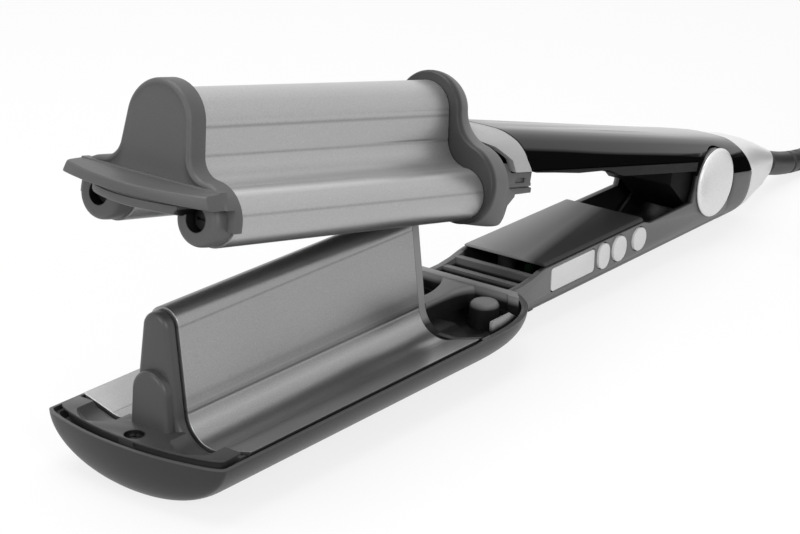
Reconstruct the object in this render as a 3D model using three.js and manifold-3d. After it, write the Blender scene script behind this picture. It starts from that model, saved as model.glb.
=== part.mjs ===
// Hair waver: two hinged arms with a ridged lower plate and a two-barrel upper plate,
// a swivelling mains lead at the tail. Lengths are millimetres and +Z is up.
// The arms are modelled closed: X runs from tip to tail, X = 0 at the front corners of the
// lower head, Y = 0 is the middle, Z = 0 is the rim of the lower head.
import * as THREE from "three";
import { mergeVertices } from "three/addons/utils/BufferGeometryUtils.js";
import Module from "manifold-3d";

const wasm = await Module();
wasm.setup();

// Clearances
const SEAT = 0.35; // between pieces that seat on each other
const SLIDE = 0.35; // around buttons, pins and swivels
const SWING = 0.5; // between pieces that pass each other when the arms close

// Hinge
const HINGE_X = 275.3;
const HINGE_Z = 6.6;
const OPEN_ANGLE = THREE.MathUtils.degToRad(11.9);
const PIN_DIAMETER = 5;
const BUSH_WALL = 1.5;
const EAR_RADIUS = 11.8;
const DISC_RADIUS = 12;
const DISC_RISE = 2.1;
const KNUCKLE_RADIUS = 11.2;
const KNUCKLE_FRONT = 250;
const SPRING_WIRE = 1.6;

// Lower head
const HEAD_HALF_WIDTH = 31.4;
const HULL_DEPTH = 17.4;
const HULL_FLAT = 0.65; // cut off the keel so that the head stands flat
const HULL_WALL = 1.8;
const FRONT_SAGITTA = 5;
const BOW_LENGTH = 12.5;
const STERN_START = 117;
const STERN_END = 158.5;
const RIM_Z = 0.85;
const KEEL = RIM_Z - HULL_DEPTH + HULL_FLAT;
const RIM_TOP = RIM_Z + 0.02; // a little over the rim so that the first ring keeps its area
const CAP_THICKNESS = 5;
const CAP_TOP = 0.8;
const BOSS_X = 6.3;
const TAB_X = 9;
const LOWER_SCREW_X = 0.8;
const LOWER_SCREW_HEAD = 5.6;
const LOWER_SCREW_SEAT = -2.6;
const REAR_WALL = 3;
const DECK_END = STERN_END - 9;
const DECK_BOTTOM = -7.4;
const DECK_TOP = -2.2;
const DISH_RADIUS = 11.3;
const COLLAR_TOP = 3.2;

// Plates
const PLATE_START = 13;
const PLATE_LENGTH = 102;
const PLATE_END = PLATE_START + PLATE_LENGTH;
const REAR_SCREW_X = PLATE_END + 9;
const PLATE_WALL = 1.8;
const PLATE_EDGE_RISE = THREE.MathUtils.degToRad(15.5);
const RIDGE_TIP_RADIUS = 5.2;
const RIDGE_HEIGHT = 33.6;
const RIDGE_TIP_Z = RIDGE_HEIGHT - RIDGE_TIP_RADIUS;
const BARREL_Y = 16.8;
const BARREL_Z = 6.3;
const BARREL_RADIUS = 7.7;
const HAIR_GAP = 1;
const CHANNEL_GAP = 1.3; // over the tip of the ridge
const DOME_WALL = 1.9;
const DOME_FILLET = 8;
const HEATER_DIAMETER = 8.6;
const HEATER_HALF_WIDTH = 1.6;
const HEATER_BOTTOM = 6;
const UPPER_PLATE_END = 119;

// Upper caps
const CAP_FRONT = 1.4;
const CAP_DEPTH = 6.2;
const CAP_PROUD = 2.2;
const CAP_TIP_EXTRA = 0.4; // the domed tip stands this much further out
const CAP_CHAMFER = 1.2;
const CAP_FACE = 2.5;
const SKIRT_BOTTOM = 4.5;
const NOSE_START = 1;
const LIP_HALF_WIDTH = 24.5;
const LIP_CORNER_X = -4.5;
const LIP_SAGITTA = 5.5;
const LIP_ROOT_TOP = 14.6;
const LIP_EDGE_TOP = 13.4;
const LIP_EDGE_BOTTOM = 10.4;
const WEB_BOTTOM = 7;
const SCREW_HOLE_DIAMETER = 6.4;
const BARREL_SCREW_SEAT = 6.3;
const REAR_CAP_DEPTH = 8.7;
const REAR_CAP_START = UPPER_PLATE_END + SEAT;
const REAR_CAP_END = REAR_CAP_START + REAR_CAP_DEPTH;
const REAR_CAP_FACE = 2;
const REAR_CAP_WALL = 2.4;
const REAR_TIP_PROUD = 2.9;
const REAR_LOBE = [14.8, 8.9];
const REAR_LOBE_RADIUS = 12;
const REAR_FILLET = 7;
const CHEEK_REACH = 5.2;
const CHEEK_INNER = 16.6;
const HEAD_TILT = THREE.MathUtils.degToRad(1.1);

// Handles
const HANDLE_HALF_WIDTH = 16;
const HANDLE_WALL = 2;
const KNUCKLE_NEAR = HANDLE_HALF_WIDTH - 2.7;
const KNUCKLE_FAR = HANDLE_HALF_WIDTH - 7.6; // narrower where the spring sits
const HANDLE_BOTTOM = -10.6;
const HANDLE_CORNER = 6;
const SIDE_TOP = 3.7;
const SIDE_TOP_REAR = 2.4;
const LOWER_HANDLE_START = 126;
const INNER_COVER_START = 171.4;
const INNER_COVER_END = 230;
const INNER_COVER_THICKNESS = 1.2;
const LOWER_COVER_TOP = SIDE_TOP + SEAT + INNER_COVER_THICKNESS;
const NECK_END = 156.9;
const UPPER_SPLIT_Z = 14.2;
const UPPER_COVER_BOTTOM = 12.5;
const UPPER_STEP_BOTTOM = 10.7;
const UPPER_STEP_START = 203;
const UPPER_CORNER = 9;
const UPPER_COVER_START = 159.4;
const UPPER_COVER_END = HINGE_X - EAR_RADIUS - SWING - 1;
const COVER_SCREWS = [179, 225];
const COVER_SCREW_HEAD = 2.6;
const SCREW_Y = 4;
const UPPER_SCREWS = [176, 196];
const UPPER_SCREW_SEAT = UPPER_COVER_BOTTOM + 0.7;
const TAIL_TAPER_START = 278;
const TAIL_HALF_WIDTH = 12.4;
const SEAM_BEHIND_HINGE = 35.7;
const TAIL_SEAM = HINGE_X + SEAM_BEHIND_HINGE;
const TAIL_SPLIT_Z = 9.2;
const SEAM_CORNER_Z = 8.2;
const SEAM_RISE = 12;
const SEAM_RUN = 16.5;
const TAIL_CAP_LENGTH = 29;
const TAIL_END = TAIL_SEAM + TAIL_CAP_LENGTH;
const TAIL_AXIS_Z = 8.9;
const TAIL_TILT = THREE.MathUtils.degToRad(6);

// Controls on the near side of the lower handle
const DISPLAY_START = 174.5;
const DISPLAY_LENGTH = 25;
const DISPLAY_HEIGHT = 7.6;
const CONTROL_Z = -1.1;
const BUTTON_PROUD = 0.7;
const BUTTON_TRAVEL = 0.6;
const BUTTON_FLANGE = 1;
const BUTTONS = [
  { name: "minus_button", x: 204.7, length: 6.5, height: 8.6 },
  { name: "plus_button", x: 214.3, length: 8, height: 8.6 },
  { name: "power_button", x: 226.6, length: 8, height: 7.8 },
];
const BOARD_THICKNESS = 1.6;
const SWITCH_SIZE = 5;

// Lead
const CORD_DIAMETER = 6;
const CORD_RADIUS = CORD_DIAMETER / 2;
const RELIEF_LENGTH = 47;
const RELIEF_START_RADIUS = 4.65;
const RELIEF_END_RADIUS = 3.75;
const RELIEF_BEND = THREE.MathUtils.degToRad(20);
const COLLAR_RADIUS = 4.4;
const SWIVEL_NECK = 3;
const SWIVEL_FLANGE = 3.8;
const COIL_PITCH = 7.4;
const COIL_TURNS_A_LAYER = 1.75;
const COIL_LAYERS = 4;
const COIL_INNER_RADIUS = 24.6;
const COIL_CENTRE_X = 432;
const COIL_ASIDE = 9.5; // the lead swings this far to the far side before the coil
const COIL_STEPS_A_TURN = 24;
const TIE_THICKNESS = 1;
const TIE_WIDTH = 9;
const PLUG_LENGTH = 34;
const PLUG_WIDTH = 30;
const PLUG_THICKNESS = 13.6;
const PLUG_PIN_DIAMETER = 4;
const PLUG_PIN_LENGTH = 19;
const PLUG_PIN_SPACING = 18.6;

// Materials
const colours = {
  silver: { color: 0xb4b4b4, roughness: 0.35, metalness: 0.9 },
  gunmetal: { color: 0x7d7d7a, roughness: 0.4, metalness: 0.8 },
  capGrey: { color: 0x585858, roughness: 0.7, metalness: 0 },
  darkGrey: { color: 0x3c3c3c, roughness: 0.45, metalness: 0 },
  midGrey: { color: 0x808080, roughness: 0.6, metalness: 0 },
  gloss: { color: 0x141414, roughness: 0.12, metalness: 0 },
  black: { color: 0x1a1a1a, roughness: 0.55, metalness: 0 },
  paleGrey: { color: 0xb8b8b8, roughness: 0.5, metalness: 0 },
  steel: { color: 0x9a9a9a, roughness: 0.3, metalness: 1 },
  brass: { color: 0xb59a55, roughness: 0.35, metalness: 1 },
  ceramic: { color: 0xe2ddd0, roughness: 0.8, metalness: 0 },
  board: { color: 0x1f5a34, roughness: 0.6, metalness: 0 },
  cord: { color: 0x2c2c2c, roughness: 0.6, metalness: 0 },
};
const materials = Object.fromEntries(
  Object.entries(colours).map(([name, look]) => [name, new THREE.MeshStandardMaterial(look)]),
);

// Solids

const point = (x, y, z) => new THREE.Vector3(x, y, z);
const AXES_ALONG_X = new THREE.Matrix4().makeBasis(point(0, 1, 0), point(0, 0, 1), point(1, 0, 0));
const AXES_ALONG_Y = new THREE.Matrix4().makeBasis(point(1, 0, 0), point(0, 0, 1), point(0, -1, 0));
const AXES_ALONG_Z = new THREE.Matrix4();

function solid(geometry) {
  const bare = geometry.index ? geometry.toNonIndexed() : geometry.clone();
  bare.deleteAttribute("normal");
  bare.deleteAttribute("uv");
  const merged = mergeVertices(bare, 1e-4);
  const mesh = new wasm.Mesh({
    numProp: 3,
    vertProperties: merged.attributes.position.array,
    triVerts: new Uint32Array(merged.index.array),
  });
  return new wasm.Manifold(mesh);
}

function geometryOf(body) {
  const { vertProperties, triVerts } = body.getMesh();
  const geometry = new THREE.BufferGeometry();
  geometry.setAttribute("position", new THREE.BufferAttribute(vertProperties, 3));
  geometry.setIndex(new THREE.BufferAttribute(triVerts, 1));
  const flat = geometry.toNonIndexed();
  flat.computeVertexNormals();
  return flat;
}

// An outline is a list of [u, v] pairs; the prism runs from one end to the other of its axis.
function prism(outline, axes, start, end) {
  const shape = new THREE.Shape(outline.map(([u, v]) => new THREE.Vector2(u, v)));
  const geometry = new THREE.ExtrudeGeometry(shape, { depth: end - start, bevelEnabled: false });
  geometry.translate(0, 0, start);
  return solid(geometry.applyMatrix4(axes));
}

const alongX = (outlineYZ, start, end) => prism(outlineYZ, AXES_ALONG_X, start, end);
const alongY = (outlineXZ, start, end) => prism(outlineXZ, AXES_ALONG_Y, -end, -start);
const alongZ = (outlineXY, start, end) => prism(outlineXY, AXES_ALONG_Z, start, end);

function box(x0, x1, y0, y1, z0, z1) {
  const geometry = new THREE.BoxGeometry(x1 - x0, y1 - y0, z1 - z0);
  return solid(geometry.translate((x0 + x1) / 2, (y0 + y1) / 2, (z0 + z1) / 2));
}

// A profile is a list of [radius, height] pairs turned about the line from start towards end.
function turned(profile, start, end, sides = 24) {
  const lathe = new THREE.LatheGeometry(
    profile.map(([r, h]) => new THREE.Vector2(r, h)),
    sides,
  );
  const direction = end.clone().sub(start).normalize();
  const turn = new THREE.Quaternion().setFromUnitVectors(point(0, 1, 0), direction);
  lathe.applyQuaternion(turn).translate(start.x, start.y, start.z);
  return solid(lathe);
}

function rod(start, end, radius, sides = 20) {
  const length = start.distanceTo(end);
  return turned([[0, 0], [radius, 0], [radius, length], [0, length]], start, end, sides);
}

const rodX = (x0, x1, y, z, radius, sides) => rod(point(x0, y, z), point(x1, y, z), radius, sides);
const rodY = (x, y0, y1, z, radius, sides) => rod(point(x, y0, z), point(x, y1, z), radius, sides);
const rodZ = (x, y, z0, z1, radius, sides) => rod(point(x, y, z0), point(x, y, z1), radius, sides);

// Rings are equal-length loops of points that run counter-clockwise seen from the last ring.
function loft(rings) {
  const count = rings[0].length;
  const positions = [];
  const add = (...corners) => corners.forEach((p) => positions.push(p.x, p.y, p.z));
  rings.slice(1).forEach((ring, step) => {
    const before = rings[step];
    for (let i = 0; i < count; i++) {
      const next = (i + 1) % count;
      add(before[i], before[next], ring[next]);
      add(before[i], ring[next], ring[i]);
    }
  });
  const middle = (ring) => ring.reduce((sum, p) => sum.add(p), point(0, 0, 0)).divideScalar(count);
  const first = rings[0];
  const last = rings[rings.length - 1];
  const centres = [middle(first), middle(last)];
  for (let i = 0; i < count; i++) {
    const next = (i + 1) % count;
    add(centres[0], first[next], first[i]);
    add(centres[1], last[i], last[next]);
  }
  const geometry = new THREE.BufferGeometry();
  geometry.setAttribute("position", new THREE.Float32BufferAttribute(positions, 3));
  return solid(geometry);
}

// Outlines

function arc(centre, radius, from, to, steps) {
  return Array.from({ length: steps + 1 }, (_, i) => {
    const angle = from + ((to - from) * i) / steps;
    return [centre[0] + radius * Math.cos(angle), centre[1] + radius * Math.sin(angle)];
  });
}

const mirrored = (half) => half.map(([u, v]) => [-u, v]).reverse();
const rectangle = (u0, u1, v0, v1) => [[u0, v0], [u1, v0], [u1, v1], [u0, v1]];

function pill(u, v, width, height, steps = 6) {
  const radius = Math.min(width, height) / 2;
  const du = width / 2 - radius;
  const dv = height / 2 - radius;
  const corners = [[du, dv, 0], [-du, dv, 1], [-du, -dv, 2], [du, -dv, 3]];
  return corners.flatMap(([cu, cv, quarter]) =>
    arc([u + cu, v + cv], radius, (quarter * Math.PI) / 2, ((quarter + 1) * Math.PI) / 2, steps),
  );
}

function roundedRectangle(u0, u1, v0, v1, radius, steps = 3) {
  const corners = [
    [u1 - radius, v1 - radius, 0],
    [u0 + radius, v1 - radius, 1],
    [u0 + radius, v0 + radius, 2],
    [u1 - radius, v0 + radius, 3],
  ];
  return corners.flatMap(([cu, cv, quarter]) =>
    arc([cu, cv], radius, (quarter * Math.PI) / 2, ((quarter + 1) * Math.PI) / 2, steps),
  );
}

const TIP = [0, RIDGE_TIP_Z];
const BARREL = [BARREL_Y, BARREL_Z];
const TROUGH_RADIUS = BARREL_RADIUS + HAIR_GAP;
// The flank of the ridge is the line that touches the tip's round and the trough's round.
const FLANK_ANGLE =
  Math.atan2(BARREL_Z - RIDGE_TIP_Z, BARREL_Y) +
  Math.acos(
    (TROUGH_RADIUS + RIDGE_TIP_RADIUS) / Math.hypot(BARREL_Y, BARREL_Z - RIDGE_TIP_Z),
  );
const EDGE_HALF_WIDTH = HEAD_HALF_WIDTH - HULL_WALL - 2 * SEAT;

// Upper face of the lower plate from the tip of its ridge to one edge, raised by offset.
function ridgeHalf(offset, halfWidth = EDGE_HALF_WIDTH) {
  const tip = arc(TIP, RIDGE_TIP_RADIUS + offset, Math.PI / 2, FLANK_ANGLE, 6);
  const troughEnd = 1.5 * Math.PI + PLATE_EDGE_RISE;
  const trough = arc(BARREL, TROUGH_RADIUS - offset, Math.PI + FLANK_ANGLE, troughEnd, 8);
  const [u, v] = trough[trough.length - 1];
  return [...tip, ...trough, [halfWidth, v + (halfWidth - u) * Math.tan(PLATE_EDGE_RISE)]];
}

const joined = (half) => [...mirrored(half.slice(1)), ...half];

// Half of a bell: a domed tip, a flank, a concave fillet and a round lobe over the barrel.
function bellHalf(tipRadius, fillet, lobeRadius, lobe = BARREL) {
  const normal = [Math.cos(FLANK_ANGLE), Math.sin(FLANK_ANGLE)];
  const down = [normal[1], -normal[0]];
  const reach = tipRadius + fillet;
  const start = [TIP[0] + reach * normal[0], TIP[1] + reach * normal[1]];
  const gap = [start[0] - lobe[0], start[1] - lobe[1]];
  const b = gap[0] * down[0] + gap[1] * down[1];
  const c = gap[0] ** 2 + gap[1] ** 2 - (lobeRadius + fillet) ** 2;
  const travel = -b - Math.sqrt(b * b - c);
  const centre = [start[0] + travel * down[0], start[1] + travel * down[1]];
  const touch = Math.atan2(centre[1] - lobe[1], centre[0] - lobe[0]);
  return [
    ...arc(TIP, tipRadius, Math.PI / 2, FLANK_ANGLE, 8),
    ...arc(centre, fillet, Math.PI + FLANK_ANGLE, Math.PI + touch, 5).slice(0, -1),
    ...arc(lobe, lobeRadius, touch, 0, 7),
  ];
}

const DOME_RADIUS = RIDGE_TIP_RADIUS + CHANNEL_GAP + DOME_WALL;

function bell(tipRadius, fillet, lobeRadius, bottom) {
  const half = bellHalf(tipRadius, fillet, lobeRadius);
  return joined([...half, [BARREL_Y + lobeRadius, bottom]]);
}

const bellAround = (proud, bottom) =>
  bell(DOME_RADIUS + CAP_TIP_EXTRA + proud, DOME_FILLET - proud, BARREL_RADIUS + proud, bottom);

// The channel between the barrels, as the space that the ridge swings into.
function channel(growth, start, end) {
  const tip = arc(TIP, RIDGE_TIP_RADIUS + CHANNEL_GAP + growth, Math.PI / 2, FLANK_ANGLE, 6);
  const side = BARREL_Y - BARREL_RADIUS + growth;
  const half = [...tip, [side, BARREL_Z], [side, KEEL]];
  return alongX(joined(half), start, end);
}

// Lower head

function hullWidth(x, inset) {
  const half = HEAD_HALF_WIDTH - inset;
  const bow = FRONT_SAGITTA;
  const fromBow = x - inset + bow;
  if (fromBow < bow) return half * Math.sqrt(Math.max(fromBow, 0) / bow);
  const along = (x - STERN_START) / (STERN_END - inset - STERN_START);
  if (along <= 0) return half;
  return half * (1 - Math.min(along, 1) ** 3) ** (1 / 2.4);
}

function hullDepth(x, inset) {
  const deep = HULL_DEPTH - inset;
  const bow = Math.min(Math.max((x - inset + FRONT_SAGITTA) / BOW_LENGTH, 0), 1);
  const stern = Math.min(Math.max((x - STERN_START) / (STERN_END - inset - STERN_START), 0), 1);
  return deep * (1 - (1 - bow) ** 2.5) ** 0.4 * (1 - stern ** 4) ** (1 / 2.8);
}

function hullRing(x, inset, top) {
  const width = hullWidth(x, inset);
  const depth = hullDepth(x, inset);
  const steps = 12;
  const keel = KEEL + inset;
  const curve = Array.from({ length: steps + 1 }, (_, i) => {
    const angle = (Math.PI * i) / steps;
    return point(x, -width * Math.cos(angle), Math.max(RIM_Z - depth * Math.sin(angle), keel));
  });
  return [...curve, point(x, width, top), point(x, -width, top)];
}

function hullBody(inset, top) {
  const bow = [0.03, 0.2, 0.5, 1].map((t) => inset - FRONT_SAGITTA + t * FRONT_SAGITTA);
  const curve = [1.6, 3.6, 6, 9].map((t) => inset + t);
  const sternLength = STERN_END - inset - STERN_START;
  const stern = [0, 0.25, 0.45, 0.6, 0.72, 0.82, 0.9, 0.96, 0.99].map((t) => STERN_START + t * sternLength);
  return loft([...bow, ...curve, ...stern].map((x) => hullRing(x, inset, top)));
}

function lowerHeadShell() {
  const outer = hullBody(0, RIM_TOP);
  const cavity = hullBody(HULL_WALL, RIM_TOP + 5);
  const handleSlot = handleOutline(SEAT);
  const notch = alongX(handleSlot, LOWER_HANDLE_START - SEAT, STERN_END + 5);
  const posts = [[LOWER_SCREW_X, -CAP_THICKNESS], [REAR_SCREW_X, DECK_BOTTOM]].map(([x, seat]) =>
    rodZ(x, 0, KEEL, seat - SEAT, 3.6, 16).subtract(rodZ(x, 0, KEEL + 4, seat + 1, 1.4, 10)),
  );
  const postsInside = posts[0].add(posts[1]).intersect(outer);
  return outer.subtract(cavity).add(postsInside).subtract(notch);
}

function lowerWavePlate() {
  const outer = joined(ridgeHalf(0));
  const inner = joined(ridgeHalf(-PLATE_WALL, EDGE_HALF_WIDTH - 0.4));
  return alongX([...outer, ...inner.reverse()], PLATE_START, PLATE_END);
}

// A block under the wave plate's own section, sunk a little so that the plate stands proud.
function plateEnd(start, end, bottom) {
  const upper = joined(ridgeHalf(-0.3));
  const half = upper[0][0];
  return alongX([...upper, [-half, bottom], [half, bottom]], start, end);
}

function planInside(inset, start, end) {
  const steps = 8;
  const stations = Array.from({ length: steps + 1 }, (_, i) => {
    const share = (1 - Math.cos((Math.PI * i) / steps)) / 2;
    return start + (end - start) * share;
  });
  const side = stations.map((x) => [x, Math.min(hullWidth(x, inset), EDGE_HALF_WIDTH)]);
  return [...side, ...side.map(([x, y]) => [x, -y]).reverse()];
}

function barrelDishes(radius, start, end) {
  return rodX(start, end, -BARREL_Y, BARREL_Z, radius, 32).add(
    rodX(start, end, BARREL_Y, BARREL_Z, radius, 32),
  );
}

function lowerFrontCap() {
  const inset = HULL_WALL + SEAT;
  const back = PLATE_START - SEAT;
  const front = inset - FRONT_SAGITTA + 0.4;
  const plan = planInside(inset, front, TAB_X + 1);
  const deck = alongZ(plan, -CAP_THICKNESS, CAP_TOP);
  const dishes = barrelDishes(BARREL_RADIUS + SWING, NOSE_START - 2 * SWING, back + 1);
  const bossHalf = [[6.8, -1], [6.2, 11], ...arc([0, 11], 6.1, 0, Math.PI / 2, 5)];
  const boss = alongX([...bossHalf, ...mirrored(bossHalf)], BOSS_X, TAB_X + 1);
  const hole = rodZ(LOWER_SCREW_X, 0, LOWER_SCREW_SEAT, 5, LOWER_SCREW_HEAD / 2 + 0.8, 20);
  const bore = rodZ(LOWER_SCREW_X, 0, -9, 5, 1.9, 12);
  const hollowHalf = joined(ridgeHalf(-2.7, 20));
  const hollow = alongX([...hollowHalf, [20, -30], [-20, -30]], TAB_X + 2, back + 1);
  return deck
    .subtract(dishes)
    .add(plateEnd(TAB_X, back, -CAP_THICKNESS))
    .add(boss)
    .subtract(hollow)
    .subtract(hole)
    .subtract(bore)
    .intersect(hullBody(inset, 40));
}

function lowerRearCap() {
  const inset = HULL_WALL + SEAT;
  const front = PLATE_END + SEAT;
  const deck = alongZ(planInside(inset, front + 1, DECK_END), DECK_BOTTOM, DECK_TOP);
  const wall = plateEnd(front, front + REAR_WALL, DECK_BOTTOM);
  const collarPlan = planInside(inset + 0.6, REAR_SCREW_X, DECK_END - 0.2);
  const hollowPlan = planInside(inset + 3, REAR_SCREW_X - 10, DECK_END - 3);
  const collar = alongZ(collarPlan, DECK_TOP - 1, COLLAR_TOP);
  const collarHollow = alongZ(hollowPlan, DECK_TOP, COLLAR_TOP + 1);
  const dishes = barrelDishes(DISH_RADIUS, front + REAR_WALL, DECK_END - 4);
  const spine = alongX([[-4, -3], [4, -3], [3, 1.9], [-3, 1.9]], front + 1, DECK_END - 1);
  const bore = rodZ(REAR_SCREW_X, 0, -20, 10, 2, 12);
  const head = rodZ(REAR_SCREW_X, 0, LOWER_SCREW_SEAT, 10, LOWER_SCREW_HEAD / 2 + 0.5, 16);
  return deck
    .add(collar.subtract(collarHollow))
    .subtract(dishes)
    .add(wall)
    .add(spine)
    .subtract(bore)
    .subtract(head)
    .intersect(hullBody(inset, 40));
}

// Lower handle

function handleOutline(growth) {
  const half = HANDLE_HALF_WIDTH + growth;
  const radius = HANDLE_CORNER + growth;
  const low = arc([half - radius, HANDLE_BOTTOM - growth + radius], radius, -Math.PI / 2, 0, 5);
  return [...low, [half, 30], [-half, 30], ...mirrored(low)];
}

const HINGE = [HINGE_X, HINGE_Z];
const SHELL_REACH = HINGE_Z - HANDLE_BOTTOM; // radius of the round rear end
const LOWER_FLOOR = HANDLE_BOTTOM + HANDLE_WALL;
const BULKHEADS = [[157.5, 1.4], [164.5, 2.6]]; // start and top of the walls across the opening
const SHELL_END_ANGLE = THREE.MathUtils.degToRad(-52);

function lowerHandleShell() {
  const section = handleOutline(0);
  const ear = arc(HINGE, EAR_RADIUS, Math.PI * 0.98, 0.02 * Math.PI, 14);
  const heel = arc(HINGE, SHELL_REACH, SHELL_END_ANGLE, -Math.PI / 2, 7);
  const opening = DECK_END + SEAT;
  const side = [
    [LOWER_HANDLE_START, HANDLE_BOTTOM],
    [LOWER_HANDLE_START, LOWER_FLOOR - 0.2],
    [opening, LOWER_FLOOR - 0.2],
    [opening, 1.4],
    [opening + 8, 1.5],
    [opening + 14, 2.2],
    [opening + 19, 3.3],
    [INNER_COVER_START, SIDE_TOP],
    [INNER_COVER_END, SIDE_TOP],
    [INNER_COVER_END + 4, SIDE_TOP_REAR],
    [HINGE_X - EAR_RADIUS - 2, SIDE_TOP_REAR],
    ...ear,
    ...heel,
  ];
  const body = alongX(section, LOWER_HANDLE_START, 320).intersect(
    alongY(side, -HANDLE_HALF_WIDTH - 1, HANDLE_HALF_WIDTH + 1),
  );
  const floor = [
    [LOWER_HANDLE_START - 1, LOWER_FLOOR],
    [HINGE_X, LOWER_FLOOR],
    ...arc(HINGE, SHELL_REACH - HANDLE_WALL, -Math.PI / 2, 0, 10),
    [320, 30],
    [LOWER_HANDLE_START - 1, 30],
  ];
  const cavity = alongX(handleOutline(-HANDLE_WALL), LOWER_HANDLE_START - 1, 320).intersect(
    alongY(floor, -HANDLE_HALF_WIDTH, HANDLE_HALF_WIDTH),
  );
  const pinHole = rodY(HINGE_X, -20, 20, HINGE_Z, PIN_DIAMETER / 2 + SLIDE, 20);
  const near = [-HANDLE_HALF_WIDTH - 1, -HANDLE_HALF_WIDTH + HANDLE_WALL + 1];
  const openings = [displayOutline(SLIDE), ...BUTTONS.map((button) => buttonOutline(button, SLIDE))];
  const hollow = openings.reduce(
    (made, outline) => made.subtract(alongY(outline, ...near)),
    body.subtract(cavity).subtract(pinHole),
  );
  const bars = BULKHEADS.map(([x, top]) => box(x, x + 2.4, -14.5, 14.5, LOWER_FLOOR - 0.5, top));
  return bars.reduce((made, bar) => made.add(bar), hollow);
}

const displayOutline = (alongGrowth, highGrowth = alongGrowth) =>
  roundedRectangle(
    DISPLAY_START - alongGrowth,
    DISPLAY_START + DISPLAY_LENGTH + alongGrowth,
    CONTROL_Z - DISPLAY_HEIGHT / 2 - highGrowth,
    CONTROL_Z + DISPLAY_HEIGHT / 2 + highGrowth,
    1.2,
  );

const buttonOutline = ({ x, length, height }, alongGrowth, highGrowth = alongGrowth) =>
  pill(x, CONTROL_Z, length + 2 * alongGrowth, height + 2 * highGrowth, 5);

const SIDE_INNER = -HANDLE_HALF_WIDTH + HANDLE_WALL;

function displayWindow() {
  const pane = alongY(displayOutline(0), -HANDLE_HALF_WIDTH - 0.1, SIDE_INNER + 0.4);
  const flange = alongY(displayOutline(0.7, -0.5), SIDE_INNER + SEAT, SIDE_INNER + SEAT + 1);
  return pane.add(flange);
}

function buttonBody(button) {
  const cap = alongY(buttonOutline(button, 0), -HANDLE_HALF_WIDTH - BUTTON_PROUD, SIDE_INNER + 0.6);
  const back = SIDE_INNER + SEAT + BUTTON_FLANGE;
  return cap.add(alongY(buttonOutline(button, 0.7, -0.7), SIDE_INNER + SEAT, back));
}

const SWITCH_FRONT = SIDE_INNER + SEAT + BUTTON_FLANGE + BUTTON_TRAVEL + SLIDE;
const BOARD_FRONT = SWITCH_FRONT + 2.2;

const buttonSwitch = ({ x }) =>
  box(
    x - SWITCH_SIZE / 2,
    x + SWITCH_SIZE / 2,
    SWITCH_FRONT,
    BOARD_FRONT - SEAT,
    CONTROL_Z - SWITCH_SIZE / 2,
    CONTROL_Z + SWITCH_SIZE / 2,
  );

const boardBottom = HANDLE_BOTTOM + HANDLE_WALL + SEAT + 1.2;

function controlBoard() {
  const last = BUTTONS[BUTTONS.length - 1];
  const top = SIDE_TOP - SEAT;
  return box(
    DISPLAY_START - 3,
    last.x + last.length / 2 + 0.9,
    BOARD_FRONT,
    BOARD_FRONT + BOARD_THICKNESS,
    boardBottom,
    top,
  );
}

// The cover lies on the handle's side walls; a rib inside the far wall keeps it straight.
function lowerInnerCover() {
  const bottom = SIDE_TOP + SEAT;
  const top = bottom + INNER_COVER_THICKNESS;
  const half = HANDLE_HALF_WIDTH - 0.3;
  const section = [
    [half - 0.2, bottom],
    [half, bottom + 0.4],
    [half - 1, top],
    [1 - half, top],
    [-half, bottom + 0.4],
    [0.2 - half, bottom],
  ];
  const plate = alongX(section, INNER_COVER_START, INNER_COVER_END);
  const ribHalf = HANDLE_HALF_WIDTH - HANDLE_WALL - SEAT;
  const ribSection = rectangle(ribHalf - 1.4, ribHalf, bottom - 2.2, bottom + 0.3);
  const rib = alongX(ribSection, INNER_COVER_START + 6, INNER_COVER_END - 4);
  const screwPosts = COVER_SCREWS.map((x) => coverPost(x));
  return [rib, ...screwPosts].reduce((sum, next) => sum.add(next), plate);
}

function coverPost(x) {
  const bottom = LOWER_FLOOR + SEAT;
  const post = rodZ(x, SCREW_Y, bottom, SIDE_TOP + SEAT + 0.3, 3, 14);
  return post.subtract(rodZ(x, SCREW_Y, bottom - 1, bottom + 7, 1.4, 10));
}

// Screws come up from below through the handle's floor into the cover's posts.
const coverScrewHole = (x) =>
  rodZ(x, SCREW_Y, HANDLE_BOTTOM - 1, LOWER_FLOOR + 1, 1.5, 12).add(
    rodZ(x, SCREW_Y, HANDLE_BOTTOM - 1, HANDLE_BOTTOM + 1.05, COVER_SCREW_HEAD + SLIDE, 14),
  );

const coverScrew = (x) =>
  rodZ(x, SCREW_Y, HANDLE_BOTTOM + 0.1, HANDLE_BOTTOM + 0.7, COVER_SCREW_HEAD, 14).add(
    rodZ(x, SCREW_Y, HANDLE_BOTTOM + 0.5, LOWER_FLOOR + 6, 1, 10),
  );

// Heating parts inside the lower head
const TROUGH_FLOOR = BARREL_Z - TROUGH_RADIUS - PLATE_WALL; // underside of the plate
const RIDGE_INSIDE = RIDGE_HEIGHT - PLATE_WALL;

function lowerHeater() {
  const half = HEATER_HALF_WIDTH;
  return box(PLATE_START + 8, PLATE_END - 8, -half, half, HEATER_BOTTOM, RIDGE_INSIDE - 2.6);
}

function heaterClamp() {
  const half = HEATER_HALF_WIDTH + SLIDE;
  const outer = 2.95;
  const foot = 12;
  const plateUnder = Math.sqrt((TROUGH_RADIUS + PLATE_WALL) ** 2 - (BARREL_Y - foot) ** 2);
  const footTop = BARREL_Z - plateUnder - SEAT;
  const outline = [
    [-foot, footTop - 1.4],
    [foot, footTop - 1.4],
    [foot, footTop],
    [outer, footTop],
    [outer, 20],
    [half, 20],
    [half, HEATER_BOTTOM - SEAT],
    [-half, HEATER_BOTTOM - SEAT],
    [-half, 20],
    [-outer, 20],
    [-outer, footTop],
    [-foot, footTop],
  ];
  return alongX(outline, PLATE_START + 20, PLATE_END - 20);
}

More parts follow.
